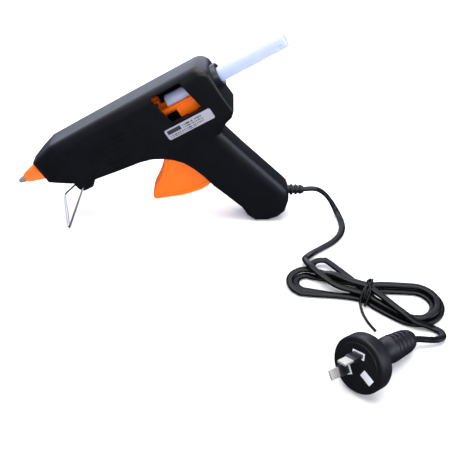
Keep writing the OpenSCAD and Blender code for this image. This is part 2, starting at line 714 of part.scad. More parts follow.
module plug_pins() {
    color("#c7c8cc") in_plug() at_pins() translate([-pin_len, -pin_t / 2, -pin_w / 2]) cube([pin_len + 7.9, pin_t, pin_w]);
}
module pin_sleeves() {
    color("#17181c") in_plug() at_pins() difference() {
        translate([-9, -pin_t / 2 - 0.5, -pin_w / 2 - 0.5]) cube([9, pin_t + 1, pin_w + 1]);
        translate([-10, -pin_t / 2 - 0.02, -pin_w / 2 - 0.02]) cube([12, pin_t + 0.04, pin_w + 0.04]);
    }
}

left_shell();
right_shell();
shell_screws();
rating_label();
nozzle_tip();
nozzle_sleeve();
melt_chamber();
ptc_heater();
heater_electrodes();
heater_clip();
inlet_sleeve();
sleeve_clamp();
pusher_carriage();
gripper_jaw();
jaw_pin();
trigger();
trigger_pin();
return_spring();
stick_guide();
glue_stick();
wire_stand();
cord_clamp();
clamp_screws();
live_wire();
neutral_wire();
wire_sleeves();
strain_relief();
cord_lead();
cord_hank();
cord_tail();
cord_tie();
plug_body();
plug_insert();
plug_pins();
pin_sleeves();
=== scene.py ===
"""Looks of a pistol-shaped hot-melt glue gun: moulded shells, trigger, nozzle, stick, stand, flex and plug.

Pieces are modelled in millimetres in one of two working frames, along the barrel or on the bench, and are
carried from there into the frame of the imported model.
"""
from __future__ import annotations

import json
import logging
import math
from dataclasses import dataclass, field
from enum import Enum
from typing import Callable, Iterable, Sequence

import bmesh
import bpy
from mathutils import Matrix, Vector


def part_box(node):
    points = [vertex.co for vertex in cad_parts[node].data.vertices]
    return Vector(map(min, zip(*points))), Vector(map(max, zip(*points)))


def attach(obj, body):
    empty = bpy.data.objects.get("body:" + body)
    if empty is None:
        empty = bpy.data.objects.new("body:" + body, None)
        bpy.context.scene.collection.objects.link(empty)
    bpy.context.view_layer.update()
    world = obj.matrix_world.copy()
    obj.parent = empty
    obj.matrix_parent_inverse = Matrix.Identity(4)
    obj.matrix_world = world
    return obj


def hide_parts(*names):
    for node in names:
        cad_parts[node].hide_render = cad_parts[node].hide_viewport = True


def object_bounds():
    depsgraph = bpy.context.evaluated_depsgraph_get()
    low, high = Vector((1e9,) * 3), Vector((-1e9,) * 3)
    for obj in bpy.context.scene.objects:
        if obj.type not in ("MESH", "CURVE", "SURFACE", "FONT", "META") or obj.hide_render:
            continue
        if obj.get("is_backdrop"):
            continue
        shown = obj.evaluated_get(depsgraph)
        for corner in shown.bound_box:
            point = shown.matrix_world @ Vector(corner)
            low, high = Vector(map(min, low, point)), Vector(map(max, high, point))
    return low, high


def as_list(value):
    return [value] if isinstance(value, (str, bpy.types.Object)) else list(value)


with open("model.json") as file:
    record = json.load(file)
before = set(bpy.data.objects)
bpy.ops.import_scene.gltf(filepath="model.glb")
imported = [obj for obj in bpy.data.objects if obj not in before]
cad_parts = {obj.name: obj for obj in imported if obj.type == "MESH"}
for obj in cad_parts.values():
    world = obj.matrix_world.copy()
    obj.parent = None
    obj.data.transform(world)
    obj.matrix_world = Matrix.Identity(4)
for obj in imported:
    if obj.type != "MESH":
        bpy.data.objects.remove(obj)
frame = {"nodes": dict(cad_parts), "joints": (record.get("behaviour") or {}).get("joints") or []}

LOG = logging.getLogger("glue_gun")
MM = 0.001
MERGE = 1e-4
Point2 = tuple[float, float]
Point3 = tuple[float, float, float]


class Side(Enum):
    """Which half of the casing a piece belongs to, as the sign of its Y."""

    LEFT = -1
    RIGHT = 1


class Body(Enum):
    """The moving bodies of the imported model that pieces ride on."""

    HOUSING = "housing"
    TRIGGER = "trigger_body"
    CARRIAGE = "carriage_body"
    STICK = "stick_body"
    STAND = "stand_body"


# ---------------------------------------------------------------- working frames
@dataclass(frozen=True)
class WorkFrame:
    """A frame in millimetres that pieces are modelled in.

    Args:
        matrix: carries a point of this frame, in millimetres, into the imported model's frame, in metres.
    """

    matrix: Matrix

    def at(self, x: float, y: float, z: float) -> Vector:
        """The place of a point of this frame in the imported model's frame."""
        return self.matrix @ Vector((x, y, z))


def barrel_frame(joints: Sequence[dict], outlet_r: float = 1.7) -> WorkFrame:
    """Works out the barrel's frame: x back along the barrel from the outlet, z square to it.

    Args:
        joints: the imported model's joints; the stick's feed runs along the barrel.
        outlet_r: outside radius of the nozzle at its outlet, in millimetres.

    Returns:
        The frame whose origin is the middle of the nozzle outlet.
    """
    feed = next(j for j in joints if j["name"] == "stick_feed")
    back = -Vector(feed["axis"]).normalized()
    up = Vector((-back.z, 0.0, back.x))
    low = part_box("nozzle_tip")[0]
    outlet = Vector((low.x + outlet_r * MM * back.z, 0.0, low.z + outlet_r * MM * back.x))
    turn = Matrix((back, Vector((0, 1, 0)), up)).transposed().to_4x4()
    return WorkFrame(Matrix.Translation(outlet) @ turn @ Matrix.Scale(MM, 4))


def bench_frame(barrel: WorkFrame) -> WorkFrame:
    """The frame on the bench: x back from below the outlet, z up from the bench."""
    outlet = barrel.at(0, 0, 0)
    return WorkFrame(Matrix.Translation((outlet.x, 0, 0)) @ Matrix.Scale(MM, 4))


def plug_frame(bench: WorkFrame, face: Point3, tilt: float, turn: float, roll: float) -> WorkFrame:
    """The plug's frame: its face at the origin and its cord end along x."""
    spin = Matrix.Rotation(math.radians(turn), 4, "Z") @ Matrix.Rotation(math.radians(tilt), 4, "Y")
    spin = spin @ Matrix.Rotation(math.radians(roll), 4, "X")
    return WorkFrame(bench.matrix @ Matrix.Translation(face) @ spin)


# ---------------------------------------------------------------- materials
def linear(hex_colour: str) -> tuple[float, float, float, float]:
    """Turns an sRGB hex colour such as "#15181f" into linear RGBA."""
    channels = [int(hex_colour[i : i + 2], 16) / 255 for i in (1, 3, 5)]
    return (*[c / 12.92 if c <= 0.04045 else ((c + 0.055) / 1.055) ** 2.4 for c in channels], 1.0)


def add_node(tree: bpy.types.NodeTree, kind: str, inputs: dict | None = None, **settings: object) -> bpy.types.Node:
    """Adds a node with its settings and links.

    Args:
        tree: the tree that the node goes in.
        kind: the node's type name.
        inputs: per input name or number, a value or a (node, output) pair to link from.
        settings: attributes of the node.

    Returns:
        The new node.
    """
    new = tree.nodes.new(kind)
    for name, value in settings.items():
        setattr(new, name, value)
    for key, value in (inputs or {}).items():
        if isinstance(value, tuple) and len(value) == 2 and isinstance(value[0], bpy.types.Node):
            tree.links.new(value[0].outputs[value[1]], new.inputs[key])
        else:
            new.inputs[key].default_value = value
    return new


@dataclass(frozen=True)
class Finish:
    """A finish: its colour, its gloss, and the fine unevenness that its making leaves.

    Args:
        name: common name of the material and how its surface was made.
        colour: sRGB hex colour.
        second: sRGB hex colour that it drifts to.
        roughness: lowest and highest roughness over the surface.
        grain_mm: size of the surface's grain.
        bump_mm: height of the grain.
        drift_mm: size of the colour's slow drift.
        metallic: 1 for a metal.
        ior: index of refraction.
        extra: further values for the shader's own sockets.
    """

    name: str
    colour: str
    second: str
    roughness: tuple[float, float] = (0.35, 0.5)
    grain_mm: float = 0.5
    bump_mm: float = 0.01
    drift_mm: float = 12.0
    metallic: float = 0.0
    ior: float = 1.5
    extra: dict = field(default_factory=dict)

    def build(self) -> bpy.types.Material:
        """Makes the Blender material."""
        material = bpy.data.materials.new(self.name)
        material.use_nodes = True
        tree = material.node_tree
        tree.nodes.clear()
        place = add_node(tree, "ShaderNodeTexCoord")
        shader = add_node(tree, "ShaderNodeBsdfPrincipled", {"Metallic": self.metallic, "IOR": self.ior,
                                                             **self.extra})
        tint = self.tint(tree, place)
        tree.links.new(tint[0].outputs[tint[1]], shader.inputs["Base Color"])
        height = self.height(tree, place)
        gloss = add_node(tree, "ShaderNodeMapRange", {
            "Value": self.gloss(tree, place, height), "To Min": self.roughness[0], "To Max": self.roughness[1]})
        tree.links.new(gloss.outputs["Result"], shader.inputs["Roughness"])
        bump = add_node(tree, "ShaderNodeBump", {"Height": height, "Strength": 1.0, "Distance": self.bump_mm * MM})
        tree.links.new(bump.outputs["Normal"], shader.inputs["Normal"])
        add_node(tree, "ShaderNodeOutputMaterial", {"Surface": (shader, "BSDF")})
        return material

    def tint(self, tree: bpy.types.NodeTree, place: bpy.types.Node) -> tuple[bpy.types.Node, str]:
        """The node and output that the base colour comes from."""
        drift = add_node(tree, "ShaderNodeTexNoise", {
            "Vector": (place, "Object"), "Scale": 1 / (self.drift_mm * MM), "Detail": 3.0})
        return self.blend(tree, (drift, "Fac")), "Color"

    def blend(self, tree: bpy.types.NodeTree, factor: tuple[bpy.types.Node, str]) -> bpy.types.Node:
        """A ramp from the main colour to the second one."""
        ramp = add_node(tree, "ShaderNodeValToRGB", {"Fac": factor})
        ramp.color_ramp.elements[0].position = 0.3
        ramp.color_ramp.elements[0].color = linear(self.colour)
        ramp.color_ramp.elements[1].position = 0.75
        ramp.color_ramp.elements[1].color = linear(self.second)
        return ramp

    def height(self, tree: bpy.types.NodeTree, place: bpy.types.Node) -> tuple[bpy.types.Node, str]:
        """The node and output that hold the surface's grain."""
        grain = add_node(tree, "ShaderNodeTexNoise", {
            "Vector": (place, "Object"), "Scale": 1 / (self.grain_mm * MM), "Detail": 2.0})
        return grain, "Fac"

    def gloss(self, tree: bpy.types.NodeTree, place: bpy.types.Node,
              height: tuple[bpy.types.Node, str]) -> tuple[bpy.types.Node, str]:
        """The node and output that vary the roughness."""
        cloud = add_node(tree, "ShaderNodeTexNoise", {
            "Vector": (place, "Object"), "Scale": 1 / (3 * self.drift_mm / 4 * MM), "Detail": 4.0})
        return cloud, "Fac"


class DrawnMetal(Finish):
    """Metal drawn or brushed along one direction, so its scratches are long and thin."""

    def height(self, tree: bpy.types.NodeTree, place: bpy.types.Node) -> tuple[bpy.types.Node, str]:
        """Scratches, stretched thirty times along x."""
        stretch = add_node(tree, "ShaderNodeMapping", {"Vector": (place, "Object"), "Scale": (0.03, 1, 1)})
        grain = add_node(tree, "ShaderNodeTexNoise", {
            "Vector": (stretch, "Vector"), "Scale": 1 / (self.grain_mm * MM), "Detail": 3.0})
        return grain, "Fac"


class WovenSleeve(Finish):
    """Glass fibre braid: two crossing sets of threads."""

    def height(self, tree: bpy.types.NodeTree, place: bpy.types.Node) -> tuple[bpy.types.Node, str]:
        """Crossing waves, one thread apart."""
        waves = [add_node(tree, "ShaderNodeTexWave",
                          {"Vector": (place, "Object"), "Scale": 0.3 / (self.grain_mm * MM)}, wave_type="BANDS",
                          bands_direction=axis) for axis in ("X", "Z")]
        both = add_node(tree, "ShaderNodeMath", {0: (waves[0], "Fac"), 1: (waves[1], "Fac")}, operation="MULTIPLY")
        return both, "Value"


# ABS from a spark-eroded mould: near-black, satin, with a grain just coarse enough to soften the highlights
BLACK_ABS = Finish("moulded_black_abs", "#070910", "#0b0d15", (0.36, 0.46), grain_mm=0.35, bump_mm=0.006,
                   extra={"Specular IOR Level": 0.36})
# the guide collar and the clamp come from a smoother tool
SMOOTH_BLACK_ABS = Finish("smooth_black_abs", "#101218", "#171a21", (0.28, 0.4), grain_mm=0.6, bump_mm=0.004)
# orange ABS, polished tool: an even warm orange with a soft sheen
ORANGE_ABS = Finish("polished_orange_abs", "#ff7200", "#fb6a00", (0.34, 0.44), grain_mm=0.8, bump_mm=0.003,
                    extra={"Specular IOR Level": 0.3, "Subsurface Weight": 0.08, "Subsurface Scale": 0.0015,
                           "Subsurface Radius": (1.0, 0.4, 0.1)})
# silicone rubber: a dry, slightly powdery surface
ORANGE_SILICONE = Finish("moulded_orange_silicone", "#f5791d", "#ea6a14", (0.42, 0.55), grain_mm=0.5, bump_mm=0.008,
                         ior=1.41)
RED_SILICONE = Finish("moulded_red_silicone", "#b53a24", "#a33220", (0.45, 0.6), grain_mm=0.5, bump_mm=0.008,
                      ior=1.41)
# nickel over turned brass, dulled by heat and handling
NICKEL = DrawnMetal("turned_nickel_plate", "#b4b1ad", "#a8a5a1", (0.4, 0.52), grain_mm=0.12, bump_mm=0.003,
                    metallic=0.55)
CAST_ALUMINIUM = Finish("die_cast_aluminium", "#b9bbbf", "#a6a8ad", (0.38, 0.55), grain_mm=0.7, bump_mm=0.02,
                        metallic=1.0)
ZINC_STEEL = DrawnMetal("zinc_plated_steel", "#c2c5cb", "#b2b6bd", (0.34, 0.46), grain_mm=0.1, bump_mm=0.003,
                        metallic=1.0)
BRASS_STRIP = DrawnMetal("rolled_brass_strip", "#d8b565", "#c79f4e", (0.22, 0.36), grain_mm=0.1, bump_mm=0.003,
                         metallic=1.0)
PTC_CERAMIC = Finish("sintered_ptc_ceramic", "#5b5652", "#4b4744", (0.6, 0.75), grain_mm=0.2, bump_mm=0.01)
# hot-melt adhesive: cloudy, light goes in and scatters, the skin is slightly waxy
HOT_MELT = Finish("extruded_hot_melt", "#c4cdf1", "#bfc9ef", (0.26, 0.3), grain_mm=1.6, bump_mm=0.01, drift_mm=30.0,
                  ior=1.48, extra={"Subsurface Weight": 0.85, "Subsurface Scale": 0.006,
                                   "Subsurface Radius": (0.8, 0.9, 1.0),
                         "Transmission Weight": 0.12})
# PVC flex and its moulded-on plug: dark, soft, with a slight bloom
BLACK_PVC = Finish("extruded_black_pvc", "#06070a", "#0a0b0f", (0.24, 0.32), grain_mm=0.4, bump_mm=0.004,
                   extra={"Specular IOR Level": 0.2})
PLUG_PVC = Finish("moulded_black_pvc", "#0a0b10", "#101118", (0.4, 0.52), grain_mm=0.35, bump_mm=0.006,
                  extra={"Specular IOR Level": 0.36})
PALE_INSERT = Finish("moulded_pale_pbt", "#d4d6de", "#c6c8d2", (0.35, 0.5), grain_mm=0.5, bump_mm=0.004)
BROWN_PVC = Finish("brown_wire_pvc", "#6b3d22", "#5f351d", (0.3, 0.42))
BLUE_PVC = Finish("blue_wire_pvc", "#2f62a6", "#28569a", (0.3, 0.42))
GLASS_BRAID = WovenSleeve("glass_fibre_braid", "#e8e5dc", "#d8d4c8", (0.6, 0.8), grain_mm=0.5, bump_mm=0.05)


@dataclass(frozen=True)
class LabelFoil(Finish):
    """Satin foil printed with plain dark bars that stand for its small print.

    Args:
        corner: lower front corner of the print, in metres.
        back: direction of the barrel.
        up: direction square to the barrel.
        length: length of the print in metres.
        height_m: height of the print in metres.
    """

    corner: tuple = (0.0, 0.0, 0.0)
    back: tuple = (1.0, 0.0, 0.0)
    up: tuple = (0.0, 0.0, 1.0)
    length: float = 0.04
    height_m: float = 0.009

    def along(self, tree: bpy.types.NodeTree, place: bpy.types.Node, axis: tuple, size: float) -> tuple:
        """How far along one side of the label a point is, from 0 to 1."""
        away = add_node(tree, "ShaderNodeVectorMath", {0: (place, "Object"), 1: self.corner}, operation="SUBTRACT")
        part = add_node(tree, "ShaderNodeVectorMath", {0: (away, "Vector"), 1: axis}, operation="DOT_PRODUCT")
        scaled = add_node(tree, "ShaderNodeMath", {0: (part, "Value"), 1: 1 / size}, operation="MULTIPLY")
        return scaled, "Value"

    def band(self, tree: bpy.types.NodeTree, value: tuple, low: float, high: float) -> tuple:
        """1 where a value lies between low and high, else 0."""
        above = add_node(tree, "ShaderNodeMath", {0: value, 1: low}, operation="GREATER_THAN")
        below = add_node(tree, "ShaderNodeMath", {0: value, 1: high}, operation="LESS_THAN")
        both = add_node(tree, "ShaderNodeMath", {0: (above, "Value"), 1: (below, "Value")}, operation="MULTIPLY")
        return both, "Value"

    def tint(self, tree: bpy.types.NodeTree, place: bpy.types.Node) -> tuple[bpy.types.Node, str]:
        """Foil colour with a solid block and rows of broken bars printed on it."""
        u = self.along(tree, place, self.back, self.length)
        v = self.along(tree, place, self.up, self.height_m)
        ticks = add_node(tree, "ShaderNodeTexNoise", {
            "W": u, "Scale": 42.0, "Detail": 0.0}, noise_dimensions="1D")
        broken = add_node(tree, "ShaderNodeMath", {0: (ticks, "Fac"), 1: 0.46}, operation="GREATER_THAN")
        ink = None
        rows = [((0.04, 0.33), (0.48, 0.86), False), ((0.37, 0.6), (0.66, 0.8), True),
                ((0.64, 0.8), (0.68, 0.82), True), ((0.37, 0.8), (0.46, 0.56), True),
                ((0.04, 0.8), (0.24, 0.34), True), ((0.04, 0.62), (0.1, 0.17), True)]
        for (u0, u1), (v0, v1), is_broken in rows:
            across = self.band(tree, u, u0, u1)
            over = self.band(tree, v, v0, v1)
            bar = add_node(tree, "ShaderNodeMath", {0: across, 1: over}, operation="MULTIPLY")
            if is_broken:
                bar = add_node(tree, "ShaderNodeMath", {0: (bar, "Value"), 1: (broken, "Value")},
                               operation="MULTIPLY")
            ink = bar if ink is None else add_node(
                tree, "ShaderNodeMath", {0: (ink, "Value"), 1: (bar, "Value")}, operation="MAXIMUM")
        ramp = self.blend(tree, (ink, "Value"))
        ramp.color_ramp.interpolation = "CONSTANT"
        ramp.color_ramp.elements[1].position = 0.5
        return ramp, "Color"


# ---------------------------------------------------------------- mesh tools
def arc(centre: Point2, radius: float, start: float, end: float, steps: int = 8) -> list[Point2]:
    """Points on a circular arc, angles in degrees."""
    angles = [math.radians(start + (end - start) * i / steps) for i in range(steps + 1)]
    return [(centre[0] + radius * math.cos(a), centre[1] + radius * math.sin(a)) for a in angles]


def smooth_path(points: Sequence[Point3], steps: int) -> list[Vector]:
    """A smooth curve through the points, with some steps between each two."""
    p = [Vector(q) for q in points]
    path = []
    for i in range(len(p) - 1):
        a, b, c, d = p[max(i - 1, 0)], p[i], p[i + 1], p[min(i + 2, len(p) - 1)]
        for k in range(steps):
            t = k / steps
            square, cube = 2 * a - 5 * b + 4 * c - d, 3 * b - a - 3 * c + d
            path.append(0.5 * (2 * b + (c - a) * t + square * t * t + cube * t**3))
    return path + [p[-1]]


def path_length(points: Sequence[Vector]) -> float:
    """Length of a line through the points."""
    return sum((b - a).length for a, b in zip(points, points[1:]))


def lathe(bm: bmesh.types.BMesh, profile: Sequence[Point2], steps: int = 64, angle: float = 360.0,
          start: float = 0.0, closed: bool = False) -> None:
    """Spins a profile of (x, radius) points about the x axis.

    Args:
        bm: the mesh that it is added to.
        profile: points along the axis and away from it.
        steps: number of steps round.
        angle: how far it is spun, in degrees.
        start: angle that it starts from, in degrees.
        closed: whether the profile is a closed loop.
    """
    verts = [bm.verts.new((x, 0, r)) for x, r in profile]
    pairs = list(zip(verts, verts[1:])) + ([(verts[-1], verts[0])] if closed else [])
    edges = [bm.edges.new(pair) for pair in pairs]
    if start:
        bmesh.ops.rotate(bm, verts=verts, cent=(0, 0, 0), matrix=Matrix.Rotation(math.radians(start), 3, "X"))
    full = abs(angle - 360) < 1e-6
    out = bmesh.ops.spin(bm, geom=verts + edges, cent=(0, 0, 0), axis=(1, 0, 0), angle=math.radians(angle),
                         steps=steps, use_merge=full)
    if closed and not full:
        last = [g for g in out["geom_last"] if isinstance(g, bmesh.types.BMEdge)]
        for loop in (edges, last):
            bmesh.ops.contextual_create(bm, geom=loop)
    bmesh.ops.remove_doubles(bm, verts=bm.verts[:], dist=MERGE)
    if full and not closed:
        bmesh.ops.holes_fill(bm, edges=[e for e in bm.edges if e.is_boundary], sides=steps + 2)


def plate(bm: bmesh.types.BMesh, outline: Sequence[Point2], y0: float, y1: float,
          holes: Sequence[Sequence[Point2]] = ()) -> list[bmesh.types.BMFace]:
    """A side outline in x and z given thickness across the gun.

    Args:
        bm: the mesh that it is added to.
        outline: the outline's points.
        y0: where its near face lies.
        y1: where its far face lies.
        holes: outlines of holes through it.

    Returns:
        The faces at y0 and the faces at y1.
    """
    edges = []
    for loop in (outline, *holes):
        verts = [bm.verts.new((x, y0, z)) for x, z in loop]
        edges += [bm.edges.new((a, b)) for a, b in zip(verts, verts[1:] + verts[:1])]
    if holes:
        made = bmesh.ops.triangle_fill(bm, use_beauty=True, use_dissolve=False, edges=edges)["geom"]
    else:
        made = bmesh.ops.contextual_create(bm, geom=edges)["faces"]
    faces = [f for f in made if isinstance(f, bmesh.types.BMFace)]
    grown = bmesh.ops.extrude_face_region(bm, geom=faces, use_keep_orig=True)["geom"]
    verts = [g for g in grown if isinstance(g, bmesh.types.BMVert)]
    bmesh.ops.translate(bm, verts=verts, vec=(0, y1 - y0, 0))
    return faces + [g for g in grown if isinstance(g, bmesh.types.BMFace)]


def inward(outline: Sequence[Point2], amounts: Sequence[float], limit: float = 1.5) -> list[Point2]:
    """Each point of an outline moved inwards by its own amount, corners mitred up to a limit."""
    count = len(outline)
    area = sum(a[0] * b[1] - b[0] * a[1] for a, b in zip(outline, [*outline[1:], outline[0]]))
    turn = math.copysign(1, area)
    moved = []
    for i, (x, z) in enumerate(outline):
        a, c = Vector(outline[i - 1]), Vector(outline[(i + 1) % count])
        d, e = (Vector((x, z)) - a).normalized(), (c - Vector((x, z))).normalized()
        n, m = Vector((-d.y, d.x)) * turn, Vector((-e.y, e.x)) * turn
        mitre = (n + m) / max(1 + n.dot(m), 0.2)
        if mitre.length > limit:
            mitre = mitre.normalized() * limit
        moved.append((x + mitre.x * amounts[i], z + mitre.y * amounts[i]))
    return moved


def rounded_plate(bm: bmesh.types.BMesh, outline: Sequence[tuple[Point2, float]], y0: float, y1: float,
                  steps: int = 7, both: bool = False) -> None:
    """A side outline given thickness, the edges round its outer face rounded, each point by its own radius.

    Args:
        bm: the mesh that it is added to.
        outline: points, each with its radius.
        y0: where the inner face lies; it is left open unless both faces are rounded.
        y1: where the outer face lies.
        steps: number of steps round the edge.
        both: whether the inner face is rounded and closed as well.
    """
    points = [p for p, _ in outline]
    radii = [r for _, r in outline]
    way = math.copysign(1, y1 - y0)
    outer = []
    for k in range(steps + 1):
        a = math.pi / 2 * k / steps
        ring = inward(points, [r * (1 - math.cos(a)) for r in radii])
        outer.append([(x, y1 - way * r * (1 - math.sin(a)), z) for (x, z), r in zip(ring, radii)])
    rings = [[bm.verts.new(p) for p in ring] for ring in outer]
    if both:
        inner = [[bm.verts.new((x, y0 + y1 - y, z)) for x, y, z in ring] for ring in outer]
        rings = inner[::-1] + rings
    else:
        rings.insert(0, [bm.verts.new((x, y0, z)) for x, z in points])
    for a, b in zip(rings, rings[1:]):
        for k in range(len(points)):
            n = (k + 1) % len(points)
            bm.faces.new((a[k], a[n], b[n], b[k]))
    bm.faces.new(rings[-1])
    if both:
        bm.faces.new(rings[0])


def block(bm: bmesh.types.BMesh, low: Point3, high: Point3) -> list[bmesh.types.BMVert]:
    """A box between two corners."""
    size = [h - l for l, h in zip(low, high)]
    centre = [(h + l) / 2 for l, h in zip(low, high)]
    made = bmesh.ops.create_cube(bm, size=1.0, matrix=Matrix.Translation(centre) @ Matrix.Diagonal((*size, 1.0)))
    return made["verts"]


def rod(bm: bmesh.types.BMesh, a: Point3, b: Point3, radius: float, steps: int = 32,
        end_radius: float | None = None) -> None:
    """A round rod from a to b."""
    start, end = Vector(a), Vector(b)
    along = end - start
    turn = along.to_track_quat("Z", "Y").to_matrix().to_4x4()
    bmesh.ops.create_cone(bm, cap_ends=True, segments=steps, radius1=radius,
                          radius2=radius if end_radius is None else end_radius, depth=along.length,
                          matrix=Matrix.Translation((start + end) / 2) @ turn)


def sharp_edges(bm: bmesh.types.BMesh, degrees: float) -> list[bmesh.types.BMEdge]:
    """The edges whose two faces turn by more than some degrees."""
    limit = math.radians(degrees)
    return [e for e in bm.edges if len(e.link_faces) == 2 and e.calc_face_angle(0) > limit]


def soften(bm: bmesh.types.BMesh, radius: float, degrees: float = 35, segments: int = 2) -> None:
    """Bevels every edge sharper than some degrees."""
    bmesh.ops.bevel(bm, geom=sharp_edges(bm, degrees), offset=radius, offset_type="OFFSET", segments=segments,
                    profile=0.5, affect="EDGES", clamp_overlap=True, material=-1)


def to_mesh(name: str, bm: bmesh.types.BMesh) -> bpy.types.Mesh:
    """Turns a bmesh into a mesh and frees it."""
    mesh = bpy.data.meshes.new(name)
    bm.to_mesh(mesh)
    bm.free()
    return mesh


def absorb(bm: bmesh.types.BMesh, part: bmesh.types.BMesh) -> None:
    """Moves everything in one bmesh into another."""
    spare = to_mesh("spare", part)
    bm.from_mesh(spare)
    bpy.data.meshes.remove(spare)


def link(name: str, data: bpy.types.ID) -> bpy.types.Object:
    """Puts a new object with this data in the scene."""
    obj = bpy.data.objects.new(name, data)
    bpy.context.scene.collection.objects.link(obj)
    return obj


def new_object(name: str, bm: bmesh.types.BMesh, work: WorkFrame = WorkFrame(Matrix.Identity(4))) -> bpy.types.Object:
    """Turns a finished bmesh into an object whose place is in its mesh."""
    bmesh.ops.remove_doubles(bm, verts=bm.verts[:], dist=MERGE)
    bmesh.ops.transform(bm, matrix=work.matrix, verts=bm.verts[:])
    bmesh.ops.recalc_face_normals(bm, faces=bm.faces[:])
    return link(name, to_mesh(name, bm))


def apply_modifiers(obj: bpy.types.Object) -> None:
    """Makes the object's modifiers part of its mesh."""
    view = bpy.context.evaluated_depsgraph_get()
    mesh = bpy.data.meshes.new_from_object(obj.evaluated_get(view))
    obj.modifiers.clear()
    old = obj.data
    obj.data = mesh
    bpy.data.meshes.remove(old)


def combine(obj: bpy.types.Object, other: bpy.types.Object, operation: str) -> None:
    """Adds or cuts another solid, which is then removed."""
    step = obj.modifiers.new(operation.lower(), "BOOLEAN")
    step.operation = operation
    step.solver = "EXACT"
    step.use_self = True
    step.object = other
    apply_modifiers(obj)
    bpy.data.objects.remove(other)


def shade(obj: bpy.types.Object, degrees: float = 32) -> None:
    """Smooth shading that keeps edges sharper than some degrees."""
    mesh = obj.data
    mesh.polygons.foreach_set("use_smooth", [True] * len(mesh.polygons))
    mesh.set_sharp_from_angle(angle=math.radians(degrees))


def dress(obj: bpy.types.Object, material: bpy.types.Material) -> None:
    """Gives the object one material."""
    obj.data.materials.clear()
    obj.data.materials.append(material)


@dataclass
class Workshop:
    """What every sub-assembly needs: the working frames and the finished materials."""

    barrel: WorkFrame
    bench: WorkFrame
    materials: dict[str, bpy.types.Material] = field(default_factory=dict)

    def finish(self, finish: Finish) -> bpy.types.Material:
        """The material of a finish, made once."""
        if finish.name not in self.materials:
            self.materials[finish.name] = finish.build()
        return self.materials[finish.name]

    def place(self, obj: bpy.types.Object, finish: Finish, body: Body, slot: str, *nodes: str,
              degrees: float = 32) -> bpy.types.Object:
        """Shades and dresses a piece, ties it to its body, and hides the imported nodes that it stands for."""
        shade(obj, degrees)
        dress(obj, self.finish(finish))
        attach(obj, body.value)
        if nodes:
            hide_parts(*nodes)
        LOG.info("%s: %d faces, on %s", obj.name, len(obj.data.polygons), body.value)
        return obj


